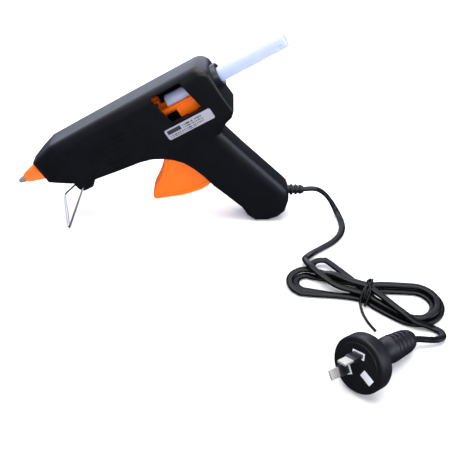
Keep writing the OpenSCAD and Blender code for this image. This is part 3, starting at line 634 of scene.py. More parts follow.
# ---------------------------------------------------------------- casing
@dataclass
class Casing:
    """The two moulded shells.

    Args:
        half_width: half the width at the barrel.
        handle_ratio: the handle's width over the barrel's.
        nose_ratio: the nose's width over the barrel's.
        wall: thickness of the walls.
        shoulder: rounding of the barrel's upper edges.
        trigger_gap: half the width of the trigger's opening.
        nose_u, nose_r, rear_u, top: the barrel's front, its half height there, its rear and its top.
        window: corners of the window in the left shell.
        bosses, handle_bosses: places of the screws in the barrel and in the handle.
        boss_r, head_r: radius of a screw boss and of a screw head's recess.
        pivot, stand_at: where the trigger and the stand turn.
        cord_z: height of the cord's exit.
    """

    shop: Workshop
    half_width: float = 15.0
    handle_ratio: float = 13 / 15
    nose_ratio: float = 0.7
    wall: float = 2.2
    shoulder: float = 8.0
    trigger_gap: float = 8.7
    nose_u: float = 23.0
    nose_r: float = 10.5
    rear_u: float = 184.0
    top: float = 18.0
    window: tuple[Point2, ...] = ((136.0, 14.5), (162.0, 14.5), (166.6, -10.9), (140.6, -10.9))
    bosses: tuple = ((50, 13.1), (112, 13.1), (175, -22))
    handle_bosses: tuple = ((185, 46), (194, 13))
    boss_r: float = 3.9
    head_r: float = 2.9
    pivot: Point2 = (126.0, -26.0)
    stand_at: Point2 = (45.0, -26.5)
    cord_z: float = 22.5

    def barrel_point(self, u: float, v: float) -> Point2:
        """A barrel point as bench x and z."""
        p = self.shop.bench.matrix.inverted() @ self.shop.barrel.at(u, 0, v)
        return p.x, p.z

    def outline(self) -> list[tuple[Point2, float]]:
        """The side outline, clockwise, each point with the rounding of the edge that follows it."""
        handle_round, end_round, belly_round, lip_round = 9.0, 3.5, 1.6, 1.0
        b = self.barrel_point
        rear = arc((self.rear_u - 10, self.top - 10), 10, 90, 0, 7)
        points = [(b(self.nose_u, -self.nose_r + 0.5), 7.5), (b(self.nose_u, 0), 7.5),
                  (b(self.nose_u, self.nose_r), 7.5)]
        points += [(b(34, 14.4), self.shoulder), (b(46, self.top), self.shoulder)]
        crown = [(u, self.top + 0.25 * math.sin(math.pi * (u - 46) / 128)) for u in (80, 115, 150)]
        points += [(b(u, v), self.shoulder) for u, v in crown]
        points += [(b(u, v), self.shoulder - 0.75 * i) for i, (u, v) in enumerate(rear)]
        points += [(b(self.rear_u, -10), 2.4), (b(self.rear_u + 0.8, -25.2), 1.8), (b(180.5, -30.2), 4.0),
                   (b(174, -33.2), 7.0)]
        points += [((164.3, 80.5), handle_round)]
        points += [(p, handle_round) for p in [(180, 64), (197, 47), (212, 32), (215.6, 28), (217.3, 23),
                                               (217.5, 16.5)]]
        points += [(p, end_round) for p in [(214.5, 8.8), (209, 3.2), (201, 0), (190.5, 0), (184.2, 4.6),
                                            (179.6, 12.2)]]
        points += [((168, 23.4), 2.5), ((157, 34), lip_round), ((149, 43.2), lip_round), ((141, 50.4), lip_round)]
        points += [((134, 55.2), lip_round), ((126, 58.4), lip_round), ((118, 59.6), lip_round),
                   ((110, 59.2), belly_round)]
        points += [(b(101, -27.8), belly_round), (b(80, -25.4), belly_round), (b(58, -22.6), belly_round),
                   (b(45, -18.5), belly_round)]
        points += [(b(33, -14.2), 5.5)]
        return points

    def width_ratio(self, p: Vector) -> float:
        """How wide the casing is at a bench point, as a share of its full width."""
        q = self.shop.barrel.matrix.inverted() @ self.shop.bench.matrix @ p
        nose = min(max((q.x - self.nose_u) / 26, 0), 1)
        low = min(max((-24 - q.z) / 24, 0), 1)
        nose_part = self.nose_ratio + (1 - self.nose_ratio) * math.sin(nose * math.pi / 2)
        return nose_part * (1 - (1 - self.handle_ratio) * low * low * (3 - 2 * low))

    def skin(self, side: Side) -> bpy.types.Object:
        """The outer skin of one shell with its rounded edges and even wall."""
        bm = bmesh.new()
        rounded_plate(bm, self.outline(), side.value * 0.01, side.value * self.half_width)
        self.divide(bm)
        for v in bm.verts:
            v.co.y *= self.width_ratio(v.co)
        bmesh.ops.recalc_face_normals(bm, faces=bm.faces[:])
        outwards = max(bm.faces, key=lambda f: f.calc_area())
        if outwards.normal.y * side.value < 0:
            bmesh.ops.reverse_faces(bm, faces=bm.faces[:])
        obj = link(f"{side.name.lower()}_casing", to_mesh("casing", bm))
        thicken = obj.modifiers.new("wall", "SOLIDIFY")
        thicken.thickness = self.wall
        thicken.offset = -1
        thicken.use_even_offset = True
        thicken.use_quality_normals = True
        apply_modifiers(obj)
        return obj

    def divide(self, bm: bmesh.types.BMesh) -> None:
        """Cuts the flat side into strips, so that it can narrow smoothly at the nose and the handle."""
        turn = self.shop.barrel.matrix.to_3x3()
        back, up = ((turn @ Vector(axis)).normalized() for axis in ((1, 0, 0), (0, 0, 1)))
        cuts = [(u, 0, back) for u in (26, 30, 34, 38, 42, 46, 50)] + [(0, v, up) for v in range(-66, -20, 6)]
        for u, v, normal in cuts:
            x, z = self.barrel_point(u, v)
            geom = bm.verts[:] + bm.edges[:] + bm.faces[:]
            bmesh.ops.bisect_plane(bm, geom=geom, dist=1e-4, plane_co=(x, 0, z), plane_no=normal)

    def inner_form(self, side: Side) -> bpy.types.Object:
        """Screw bosses, the pivot boss, the carriage's track, the mould line and the stand's lug."""
        s = side.value
        bm = bmesh.new()
        for u, v in self.bosses:
            x, z = self.barrel_point(u, v)
            rod(bm, (x, s * 0.05, z), (x, s * (8.4 if v > 0 else 13.2), z), self.boss_r)
        self.tilted_box(bm, (137, s * 9, 4.6), (172, s * 13.6, 7.4))
        self.groove(bm, side, (113.4, 5.0), (113.4, -22.0), 0.36, 0.4, 0.55)
        for x, z in self.handle_bosses:
            rod(bm, (x, s * 0.05, z), (x, s * 11.5, z), self.boss_r)
        x, z = self.barrel_point(*self.pivot)
        rod(bm, (x, s * 11.1, z), (x, s * 13.6, z), 4.0)
        lug = [self.barrel_point(u, v) for u, v in [(40, -13.5), (55.5, -19), (55, -25), (53, -30.2), (44, -30),
                                                    (41, -26.5)]]
        part = bmesh.new()
        plate(part, lug, s * 0.05, s * 9)
        soften(part, 0.8, 50)
        absorb(bm, part)
        return new_object("inner_form", bm)

    def cutters(self, side: Side) -> bpy.types.Object:
        """Everything that is cut out of one shell."""
        s = side.value
        w = self.half_width
        bm = bmesh.new()
        if side is Side.LEFT:
            plate(bm, [self.barrel_point(*p) for p in self.window], s * 6, s * (w + 4))
        for u, radius, length in ((self.nose_u, 8.0, 5), (self.rear_u, 9.6, 5)):
            rod(bm, self.bench_of(u - length, 0, 0), self.bench_of(u + length, 0, 0), radius, 64)
        room = [(108, 44), (108, 72), (150, 72), (170, 52), (157.4, 34.2), (146, 20)]
        plate(bm, room, -s * 0.7, s * self.trigger_gap)
        rod(bm, (212, 0, self.cord_z), (222, 0, self.cord_z), 4.0, 48)
        x, z = self.barrel_point(*self.stand_at)
        rod(bm, (x, s * 3.8, z), (x, s * 12, z), 0.9, 24)
        for v in (1.5, -3.0, -7.5, -12.0, -16.5):
            self.groove(bm, side, (62 + 0.6 * (1.5 - v), v), (104, v), 0.8, 0.3)
        if side is Side.LEFT:
            self.tilted_box(bm, (131, -w - 1, -22.2), (171, -w + 0.3, -13))
        else:
            for x, z in [*(self.barrel_point(*p) for p in self.bosses), *self.handle_bosses]:
                rod(bm, (x, 6, z), (x, 20, z), self.head_r)
        return new_object("cutters", bm)

    def bench_of(self, u: float, y: float, v: float) -> Vector:
        """A barrel point in the bench frame."""
        x, z = self.barrel_point(u, v)
        return Vector((x, y, z))

    def tilted_box(self, bm: bmesh.types.BMesh, low: Point3, high: Point3) -> None:
        """A box along the barrel, in the bench frame."""
        verts = block(bm, tuple(min(a, b) for a, b in zip(low, high)), tuple(max(a, b) for a, b in zip(low, high)))
        carry = self.shop.bench.matrix.inverted() @ self.shop.barrel.matrix
        bmesh.ops.transform(bm, matrix=carry, verts=verts)

    def groove(self, bm: bmesh.types.BMesh, side: Side, start: Point2, end: Point2, half: float, depth: float,
               rise: float = 2.0) -> None:
        """A round-ended strip at the flat side, from one barrel point to another, to cut away or to add."""
        a, b = Vector(self.barrel_point(*start)), Vector(self.barrel_point(*end))
        heading = math.degrees(math.atan2(b.y - a.y, b.x - a.x))
        ring = arc(tuple(b), half, heading - 90, heading + 90, 6)
        ring += arc(tuple(a), half, heading + 90, heading + 270, 6)
        plate(bm, ring, side.value * (self.half_width - depth), side.value * (self.half_width + rise))

    def build(self) -> None:
        """Makes both shells."""
        for side in Side:
            obj = self.skin(side)
            combine(obj, self.inner_form(side), "UNION")
            combine(obj, self.cutters(side), "DIFFERENCE")
            obj.data.transform(self.shop.bench.matrix)
            self.shop.place(obj, BLACK_ABS, Body.HOUSING, "shell_black", f"{side.name.lower()}_shell", degrees=28)

    def label(self) -> None:
        """The rating label, let into the left shell."""
        bm = bmesh.new()
        corner, u0, u1, v0, v1 = 1.6, 131.1, 170.9, -22.1, -13.1
        ring = []
        for u, v, start in ((u0, v1, 180), (u1, v1, 90), (u1, v0, 0), (u0, v0, -90)):
            inside = (u + math.copysign(corner, (u0 + u1) / 2 - u), v + math.copysign(corner, (v0 + v1) / 2 - v))
            ring += arc(inside, corner, start, start - 90, 5)
        plate(bm, ring, -self.half_width, -self.half_width + 0.3)
        obj = new_object("rating_plate", bm, self.shop.barrel)
        turn = self.shop.barrel.matrix.to_3x3()
        foil = LabelFoil(
            "printed_satin_foil", "#bcbccb", "#3c3d48", (0.3, 0.42), grain_mm=0.3, bump_mm=0.004, metallic=0.35,
            corner=tuple(self.shop.barrel.at(u0, -self.half_width, v0)),
            back=tuple((turn @ Vector((1, 0, 0))).normalized()),
            up=tuple((turn @ Vector((0, 0, 1))).normalized()),
            length=(u1 - u0) * MM, height_m=(v1 - v0) * MM)
        self.shop.place(obj, foil, Body.HOUSING, "label_foil", "rating_label")


# ---------------------------------------------------------------- nozzle, stick and its guide
@dataclass
class BarrelTurnings:
    """The round pieces along the barrel: nozzle, silicone sleeve, guide collar and glue stick."""

    shop: Workshop
    stick_r: float = 5.6
    stick_start: float = 142.0
    stick_end: float = 242.0
    guide_r: float = 9.5

    def turned(self, name: str, profile: Sequence[Point2], finish: Finish, body: Body, slot: str, node: str,
               steps: int = 64) -> bpy.types.Object:
        """One turned piece whose closed profile is spun about the barrel's axis."""
        bm = bmesh.new()
        lathe(bm, profile, steps, closed=True)
        obj = new_object(name, bm, self.shop.barrel)
        return self.shop.place(obj, finish, body, slot, node, degrees=38)

    def build(self) -> None:
        """Makes the pieces."""
        self.turned("nozzle", [(0.0, 1.0), (0.0, 1.5), (0.25, 1.75), (1.0, 2.0), (4.5, 2.75), (6.6, 3.1), (7.2, 3.2),
                               (28.5, 3.2), (28.5, 4.8), (28.7, 5.0), (30.8, 5.0), (31.0, 4.8), (31.0, 4.0),
                               (40.0, 4.0), (40.0, 1.8), (6.0, 1.8), (6.0, 1.0)],
                    NICKEL, Body.HOUSING, "nozzle_metal", "nozzle_tip")
        self.turned("nozzle_boot", [(7.0, 3.25), (7.0, 3.7), (7.25, 4.0), (8.0, 4.35), (15.0, 6.2), (21.4, 7.75),
                                    (22.2, 7.9), (22.5, 7.85), (22.6, 7.88), (25.5, 7.88), (25.5, 8.3), (27.8, 8.3),
                                    (27.8, 3.25)],
                    ORANGE_SILICONE, Body.HOUSING, "orange_silicone", "nozzle_sleeve")
        r = self.guide_r
        self.turned("guide_collar", [(176.0, self.stick_r + 0.6), (176.0, r - 0.2), (176.2, r), (179.4, r),
                                     (179.4, r + 1.6), (181.7, r + 1.6), (181.7, r), (187.0, r), (187.7, r - 0.3),
                                     (188.0, r - 0.9), (188.0, self.stick_r + 1.7), (187.0, self.stick_r + 0.6)],
                    SMOOTH_BLACK_ABS, Body.HOUSING, "guide_black", "stick_guide")
        self.stick()

    def stick(self) -> None:
        """The glue stick, its cut ends slightly rounded."""
        bm = bmesh.new()
        a, b, r = self.stick_start, self.stick_end, self.stick_r
        ring = [(a, 0.0), (a, r - 0.5), (a + 0.15, r - 0.15), (a + 0.5, r), (b - 0.5, r), (b - 0.15, r - 0.15),
                (b, r - 0.5), (b, 0.0)]
        stations = [a + 0.5 + (b - a - 1) * i / 24 for i in range(1, 24)]
        profile = ring[:4] + [(x, r + 0.03 * math.sin(x * 0.7)) for x in stations] + ring[4:]
        lathe(bm, profile, 48)
        obj = new_object("hot_melt_stick", bm, self.shop.barrel)
        self.shop.place(obj, HOT_MELT, Body.STICK, "glue", "glue_stick", degrees=40)


# ---------------------------------------------------------------- trigger train
@dataclass
class TriggerTrain:
    """The trigger with its hub and arms, and the carriage that they push."""

    shop: Workshop
    half: float = 8.0
    pivot: Point2 = (126.0, -26.0)
    lean: float = 10.0
    arm_y: float = 8.6
    arm_t: float = 2.0

    def outline(self) -> list[Point2]:
        """The trigger's side outline in the bench frame."""
        top = [(117.6, 71.5), (126.6, 71.5), (130, 64), (142, 53), (154.4, 42.6), (155.5, 35.2)]
        low = [(152.5, 31.4), (148, 28.2), (143, 26), (138, 24), (132, 22.2), (126, 21), (120, 20), (115, 19.2)]
        tip = arc((110.8, 21.4), 3.0, 275, 170, 7)
        front = [(108.4, 25.6), (109.7, 29.4), (111.9, 34), (114.2, 39), (116.2, 45), (117.5, 51), (118.4, 58)]
        return top + low + tip + front

    def build_trigger(self) -> None:
        """Makes the trigger: a rounded front, a rim along its edges, a sunk panel on each side."""
        bm = bmesh.new()
        shaped = [(p, 2.4 if p[0] < 118.6 and 20 < p[1] < 62 else 0.7) for p in self.outline()]
        rounded_plate(bm, shaped, -self.half, self.half, 5, both=True)
        obj = new_object("finger_trigger", bm)
        panel = [(121.5, 69), (124.4, 69), (128.6, 61.6), (140.6, 50.6), (151.6, 41.6), (152.4, 36.2), (147, 32),
                 (137, 27.4), (126, 24.6), (116.4, 23.0), (115.6, 27), (118.2, 36), (120.6, 46), (121.8, 58)]
        bm = bmesh.new()
        for s in (-1, 1):
            plate(bm, panel, s * (self.half - 0.5), s * (self.half + 3))
        combine(obj, new_object("panels", bm), "DIFFERENCE")
        bm = bmesh.new()
        bm.from_mesh(obj.data)
        soften(bm, 0.25, 60)
        self.linkage(bm)
        bm.to_mesh(obj.data)
        bm.free()
        obj.data.transform(self.shop.bench.matrix)
        self.shop.place(obj, ORANGE_ABS, Body.TRIGGER, "orange_plastic", "trigger", degrees=30)

    def linkage(self, bm: bmesh.types.BMesh) -> None:
        """Adds the hub halves and the two slotted arms to the trigger's mesh."""
        carry = self.shop.bench.matrix.inverted() @ self.shop.barrel.matrix
        part = bmesh.new()
        end = self.arm_y + self.arm_t + 0.2
        for s in (-1, 1):
            verts_before = set(part.verts)
            profile = [(3.1 * s, 2.06), (3.1 * s, 5.0), (end * s, 5.0), (end * s, 2.06)]
            lathe(part, profile, 40, closed=True)
            fresh = [v for v in part.verts if v not in verts_before]
            bmesh.ops.rotate(part, verts=fresh, cent=(0, 0, 0), matrix=Matrix.Rotation(math.radians(90), 3, "Z"))
            bmesh.ops.translate(part, verts=fresh, vec=(self.pivot[0], 0, self.pivot[1]))
        for s in (-1, 1):
            verts_before = set(part.verts)
            width, length, slot_r = 3.7, 31.4, 1.8
            slot_ring = arc((0, 25.6), slot_r, 180, 360, 8) + arc((0, 26.8), slot_r, 0, 180, 8)
            outer = [(-width, 3.8), (-width, length - 1.6), (-width + 1.6, length), (width - 1.6, length),
                     (width, length - 1.6), (width, 3.8)]
            near, far = sorted((s * self.arm_y, s * (self.arm_y + self.arm_t)))
            plate(part, outer, near, far, holes=[slot_ring])
            fresh = [v for v in part.verts if v not in verts_before]
            leaned = Matrix.Rotation(math.radians(self.lean), 3, "Y")
            bmesh.ops.rotate(part, verts=fresh, cent=(0, 0, 0), matrix=leaned)
            bmesh.ops.translate(part, verts=fresh, vec=(self.pivot[0], 0, self.pivot[1]))
        bmesh.ops.transform(part, matrix=carry, verts=part.verts[:])
        bmesh.ops.recalc_face_normals(part, faces=part.faces[:])
        absorb(bm, part)

    def build_carriage(self) -> None:
        """Makes the pusher carriage: a ring, a trough under the stick, ears for the jaw and two drive pins."""
        bm = bmesh.new()
        pin_u = self.pivot[0] + 26 * math.tan(math.radians(self.lean))
        bore, outer, front, end = 6.0, 8.2, pin_u - 4, 171.0
        ring = [(end - 9.5, bore), (end - 9.5, outer - 0.5), (end - 9.0, outer), (end - 0.5, outer),
                (end, outer - 0.5), (end, bore)]
        lathe(bm, ring, 48, closed=True)
        for start in (100, 207):
            trough = [(front, bore), (front, outer - 0.3), (front + 0.3, outer), (end - 1, outer), (end - 1, bore)]
            lathe(bm, trough, 14, angle=53, start=start, closed=True)
        for s in (-1, 1):
            rod(bm, (pin_u, s * 7.2, 0), (pin_u, s * 10.8, 0), 1.5, 24)
            low, high = sorted((s * 5.8, s * outer))
            block(bm, (front, low, -2.6), (front + 8, high, 2.5))
            low, high = sorted((s * 3.1, s * 5.6))
            block(bm, (152, low, -14.6), (160, high, -5.4))
            low, high = sorted((s * 6.2, s * 7.4))
            block(bm, (147, low, -12.5), (168, high, -4.0))
        obj = new_object("carriage", bm, self.shop.barrel)
        self.shop.place(obj, ORANGE_ABS, Body.CARRIAGE, "orange_plastic", "pusher_carriage", degrees=30)

    def build(self) -> None:
        """Makes both pieces."""
        self.build_trigger()
        self.build_carriage()


# ---------------------------------------------------------------- swept pieces
def sweep(name: str, path: Sequence[Vector], width: float, height: float, work: WorkFrame,
          groove: float = 0.0, sides: int = 20, up: Vector = Vector((0, 0, 1))) -> bpy.types.Object:
    """A tube of flat twin or round section along a path.

    Args:
        name: the new object's name.
        path: centreline in the working frame.
        width: width of the section across the path.
        height: height of the section.
        work: the working frame.
        groove: depth of the valley between the two cores of a flat twin section.
        sides: points round the section.
        up: the direction that the section's height stays closest to.

    Returns:
        The object.
    """
    bm = bmesh.new()
    ring = []
    for k in range(sides):
        a = 2 * math.pi * (k + 0.5) / sides
        x, z = math.cos(a) * width / 2, math.sin(a) * height / 2
        if groove:
            x = math.copysign(abs(math.cos(a)) ** 0.85, math.cos(a)) * width / 2
            z *= 1 - groove * math.exp(-((x / (0.16 * width)) ** 2))
        ring.append((x, z))
    rings = []
    for i, point in enumerate(path):
        ahead = (path[min(i + 1, len(path) - 1)] - path[max(i - 1, 0)]).normalized()
        across = ahead.cross(up).normalized()
        rise = across.cross(ahead)
        rings.append([bm.verts.new(point + across * x + rise * z) for x, z in ring])
    for a, b in zip(rings, rings[1:]):
        for k in range(sides):
            bm.faces.new((a[k], a[(k + 1) % sides], b[(k + 1) % sides], b[k]))
    bm.faces.new(rings[0][::-1])
    bm.faces.new(rings[-1])
    return new_object(name, bm, work)


@dataclass
class Stand:
    """The bent wire stand."""

    shop: Workshop
    wire_r: float = 0.8
    bend_r: float = 2.4
    foot_x: float = 34.0
    foot_skew: float = 6.0
    foot_half: float = 24.2
    top_half: float = 10.4
    inner: float = 4.0

    def rounded(self, a: Vector, b: Vector, c: Vector, steps: int = 8) -> list[Vector]:
        """Points round the bend at b."""
        e, f = (a - b).normalized(), (c - b).normalized()
        turn = math.pi - e.angle(f)
        middle = (e + f).normalized()
        centre = b + middle * self.bend_r / math.cos(turn / 2)
        side = (f - e).normalized()
        angles = [turn * (i / steps - 0.5) for i in range(steps + 1)]
        return [centre + self.bend_r * (math.cos(t) * -middle + math.sin(t) * side) for t in angles]

    def build(self) -> None:
        """Makes the wire."""
        top = self.shop.bench.matrix.inverted() @ self.shop.barrel.at(45, 0, -26.5)
        corners = [(top.x, -self.inner, top.z), (top.x, -self.top_half, top.z),
                   (self.foot_x + self.foot_skew, -self.foot_half, self.wire_r),
                   (self.foot_x - self.foot_skew, self.foot_half, self.wire_r), (top.x, self.top_half, top.z),
                   (top.x, self.inner, top.z)]
        p = [Vector(c) for c in corners]
        path = [p[0]]
        for a, b, c in zip(p, p[1:], p[2:]):
            path += self.rounded(a, b, c)
        path.append(p[-1])
        up = (p[2] - p[1]).cross(Vector((0, 1, 0))).normalized()
        obj = sweep("bench_stand", path, 2 * self.wire_r, 2 * self.wire_r, self.shop.bench, sides=20, up=up)
        self.shop.place(obj, ZINC_STEEL, Body.STAND, "stand_wire", "wire_stand", degrees=50)


@dataclass(frozen=True)
class Turn:
    """One turn of the hank, in millimetres.

    Args:
        waist: how far from the middle it passes under the tie.
        right: radius of its right end.
        left_at: centre of its left end.
        left: radius of its left end.
        z: height of its right part.
        z_left: height of its left end.
    """

    waist: float
    right: float
    left_at: Point2
    left: float
    z: float
    z_left: float


@dataclass
class Flex:
    """The flat twin flex: from the strain relief to the bench, through its tied hank, to the plug."""

    shop: Workshop
    width: float = 5.2
    height: float = 3.2
    waist: Point2 = (268.0, -103.0)
    heading: float = -20.64
    right_x: float = 34.5
    centre_y: float = -0.9
    relief_end: float = 229.5
    exit_z: float = 22.5
    rest: float = 1.62
    layer: float = 3.3

    def hank_point(self, x: float, y: float, z: float) -> Point3:
        """A point of the hank's own frame in the bench frame."""
        a = math.radians(self.heading)
        along, across = x * math.cos(a) - y * math.sin(a), x * math.sin(a) + y * math.cos(a)
        return (self.waist[0] + along, self.waist[1] + across, z)

    def loop(self, centre: Point2, radius: float, start: float, end: float, z0: float, z1: float,
             steps: int) -> list[Point3]:
        """Points round one end of the hank, its height going from z0 to z1."""
        points = []
        for i in range(steps + 1):
            t = i / steps
            a = math.radians(start + (end - start) * t)
            points.append(self.hank_point(centre[0] + radius * math.cos(a), centre[1] + radius * math.sin(a),
                                          z0 + (z1 - z0) * t))
        return points

    def hank(self) -> list[Point3]:
        """The hank's turns, run after run.

        Returns:
            Points from where the lead crosses its left end to where the tail leaves its right end.
        """
        z0, z1, z2 = self.rest, self.rest + self.layer, self.rest + 2 * self.layer
        h = self.hank_point
        points = [h(-45, 8.5, z2), h(-37.5, 2.6, z2), h(-29, -1.8, z2 - 0.8), h(-19, -4.4, z1 + 0.6)]
        for turn in (Turn(5.4, 16.8, (-43.6, -4.5), 12.0, z1, z0), Turn(8.0, 19.4, (-42.6, -4.5), 8.4, z0, z0),
                     Turn(2.7, 13.9, (-36.4, 13.6), 7.6, z0, z1)):
            near, far = turn.waist, 0.26 * turn.right
            points += [h(0, -near, turn.z), h(11, -near - far, turn.z)]
            points += self.loop((self.right_x, self.centre_y), turn.right, -112, 112, turn.z, turn.z, 9)
            points += [h(11, near + far, turn.z), h(0, near, turn.z)]
            slope = (turn.left_at[1] + turn.left - near) / 3.4
            points += [h(-14, near + slope, max(turn.z, turn.z_left))]
            points += self.loop(turn.left_at, turn.left, 72, 285, max(turn.z, turn.z_left), turn.z_left, 8)
            if turn.left_at[1] < 0:
                points += [h(-15, -9.4, turn.z_left)]
            else:
                points += [h(-25, 4.4, z2), h(-12.5, 1.4, z2)]
        points += [h(0, 0.2, z2), h(12, -6.5, z2), h(22, -13.4, z2), h(31, -18.6, z2 - 0.6), h(39, -21.4, z1 + 0.4)]
        return points

    def route(self, plug_end: Vector) -> list[Point3]:
        """The whole centreline, from the strain relief to the plug."""
        r = self.rest
        lead = [(self.relief_end - 0.6, 0, self.exit_z), (236, 0, 23.2), (242, 0, 22), (248, -0.5, 17.5),
                (253, -1.5, 11), (256.5, -4, 5.5), (259, -9, 2.4), (260.2, -16, r), (260, -25, r), (257, -34, r),
                (251, -42.5, r), (243, -49.5, r), (234.5, -56.5, r + 0.3), (229, -63.5, 3.4), (226.6, -70.6, 6.4)]
        tail = [(304.6, -138.4, 3.4), (309.6, -140.0, r + 0.3), (313.3, -143.6, r + 0.6), (313.4, -148.8, r + 1.3),
                (309.4, -152.6, r + 2.4), (303.2, -154.2, r + 3.6), (297, -154.6, r + 4.6)]
        return lead + self.hank() + tail + [tuple(plug_end)]

    def build(self, plug_end: Vector, with_pieces: Callable[[], list[bpy.types.Object]]) -> None:
        """Args:
            plug_end: where it enters the plug, in the bench frame.
            with_pieces: gives the pieces that are on the cord.
        """
        path = smooth_path(self.route(plug_end), 5)
        obj = sweep("twin_flex", path, self.width, self.height, self.shop.bench, groove=0.22, sides=20)
        self.shop.place(obj, BLACK_PVC, Body.HOUSING, "cord_black", "cord_lead", "cord_hank", "cord_tail", degrees=60)
        world = [self.shop.bench.matrix @ p for p in path]
        length = path_length(world)
        LOG.info("flex length %.3f m", length)
        tuple(world[0])
        [tuple(p) for p in world]
        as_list(with_pieces())


@dataclass
class FlexFittings:
    """What is on the flex: the ribbed strain relief and the tie round the hank."""

    shop: Workshop
    flex: Flex
    handle_x: float = 217.5
    root_r: float = 3.3

    def relief(self) -> bpy.types.Object:
        """The strain relief: a tapered boot with three ribs."""
        bm = bmesh.new()
        profile = [(-9.0, 0.0), (-9.0, 5.0), (-6.0, 5.0), (-6.0, 3.6), (0.0, 3.6)]
        for i in range(3):
            x, r = 0.9 + 3.6 * i, 4.55 - 0.3 * i
            profile += [(x, self.root_r), (x + 0.3, r - 0.35), (x + 0.8, r), (x + 1.6, r - 0.05), (x + 2.1, r - 0.4),
                        (x + 2.4, self.root_r - 0.1)]
        profile += [(11.4, self.root_r - 0.15), (11.9, self.root_r - 0.6), (12.0, 2.0), (12.0, 0.0)]
        lathe(bm, profile, 48)
        bmesh.ops.translate(bm, verts=bm.verts[:], vec=(self.handle_x, 0, self.flex.exit_z))
        obj = new_object("flex_boot", bm, self.shop.bench)
        return self.shop.place(obj, PLUG_PVC, Body.HOUSING, "cord_black", "strain_relief", degrees=34)

    def tie(self) -> bpy.types.Object:
        """The twist tie: a flattened loop round the waist, its two ends twisted and bent over."""
        half, low, high, wire = 11.4, 0.9, 9.7, 1.5
        lean = [0.0, 1.6]
        turns = []
        for lap, shift in enumerate(lean):
            turns += [(shift, half - 2, low), (shift + 0.4, half, 3), (shift + 0.8, half - 1, 6.4),
                      (shift + 1.0, 6.6, high - 0.8), (shift + 1.0, 0, high + 0.2 + lap),
                      (shift + 0.8, -6.6, high - 0.6), (shift + 0.4, -half + 0.6, 6), (shift, -half, 3),
                      (shift, -half + 2, low), (shift + 0.6, 0, low - 0.05)]
        place = lambda p: self.flex.hank_point(p[0], p[1], p[2])
        obj = sweep("tie_wraps", smooth_path([place(p) for p in turns[:-1]], 5), wire, wire, self.shop.bench,
                    sides=10, up=Vector((1, 0.001, 0)))
        runs = [
            [(0.8, 3.5, high + 0.9), (2.6, 3.2, high + 2.2), (3.4, 1.2, high + 2.6), (2.2, -0.8, high + 1.6),
             (0.6, -3.4, high + 0.9), (-0.6, -7.5, high - 0.2), (-1.4, -11.6, 6.4), (-0.6, -15.5, 3.6),
             (3.4, -22.5, 1.5), (9, -29.5, 0.9), (15, -35.2, 0.9)],
            [(2.6, 4.2, high + 0.8), (0.9, 2.6, high + 2.0), (0.4, 0.4, high + 2.4), (2.0, -1.6, high + 1.8),
             (3.4, -5, high + 1.0), (3.8, -9, 7.6), (3.2, -13, 4.2), (2.6, -15.2, 2.0)],
        ]
        ends = [sweep(f"tie_end_{k}", smooth_path([place(p) for p in run], 5), 1.25 * wire, 1.25 * wire,
                      self.shop.bench, sides=10)
                for k, run in enumerate(runs)]
        for piece in [obj, *ends]:
            self.shop.place(piece, BLACK_PVC, Body.HOUSING, "tie_black", *(("cord_tie",) if piece is obj else ()),
                            degrees=60)
        return [obj, *ends]


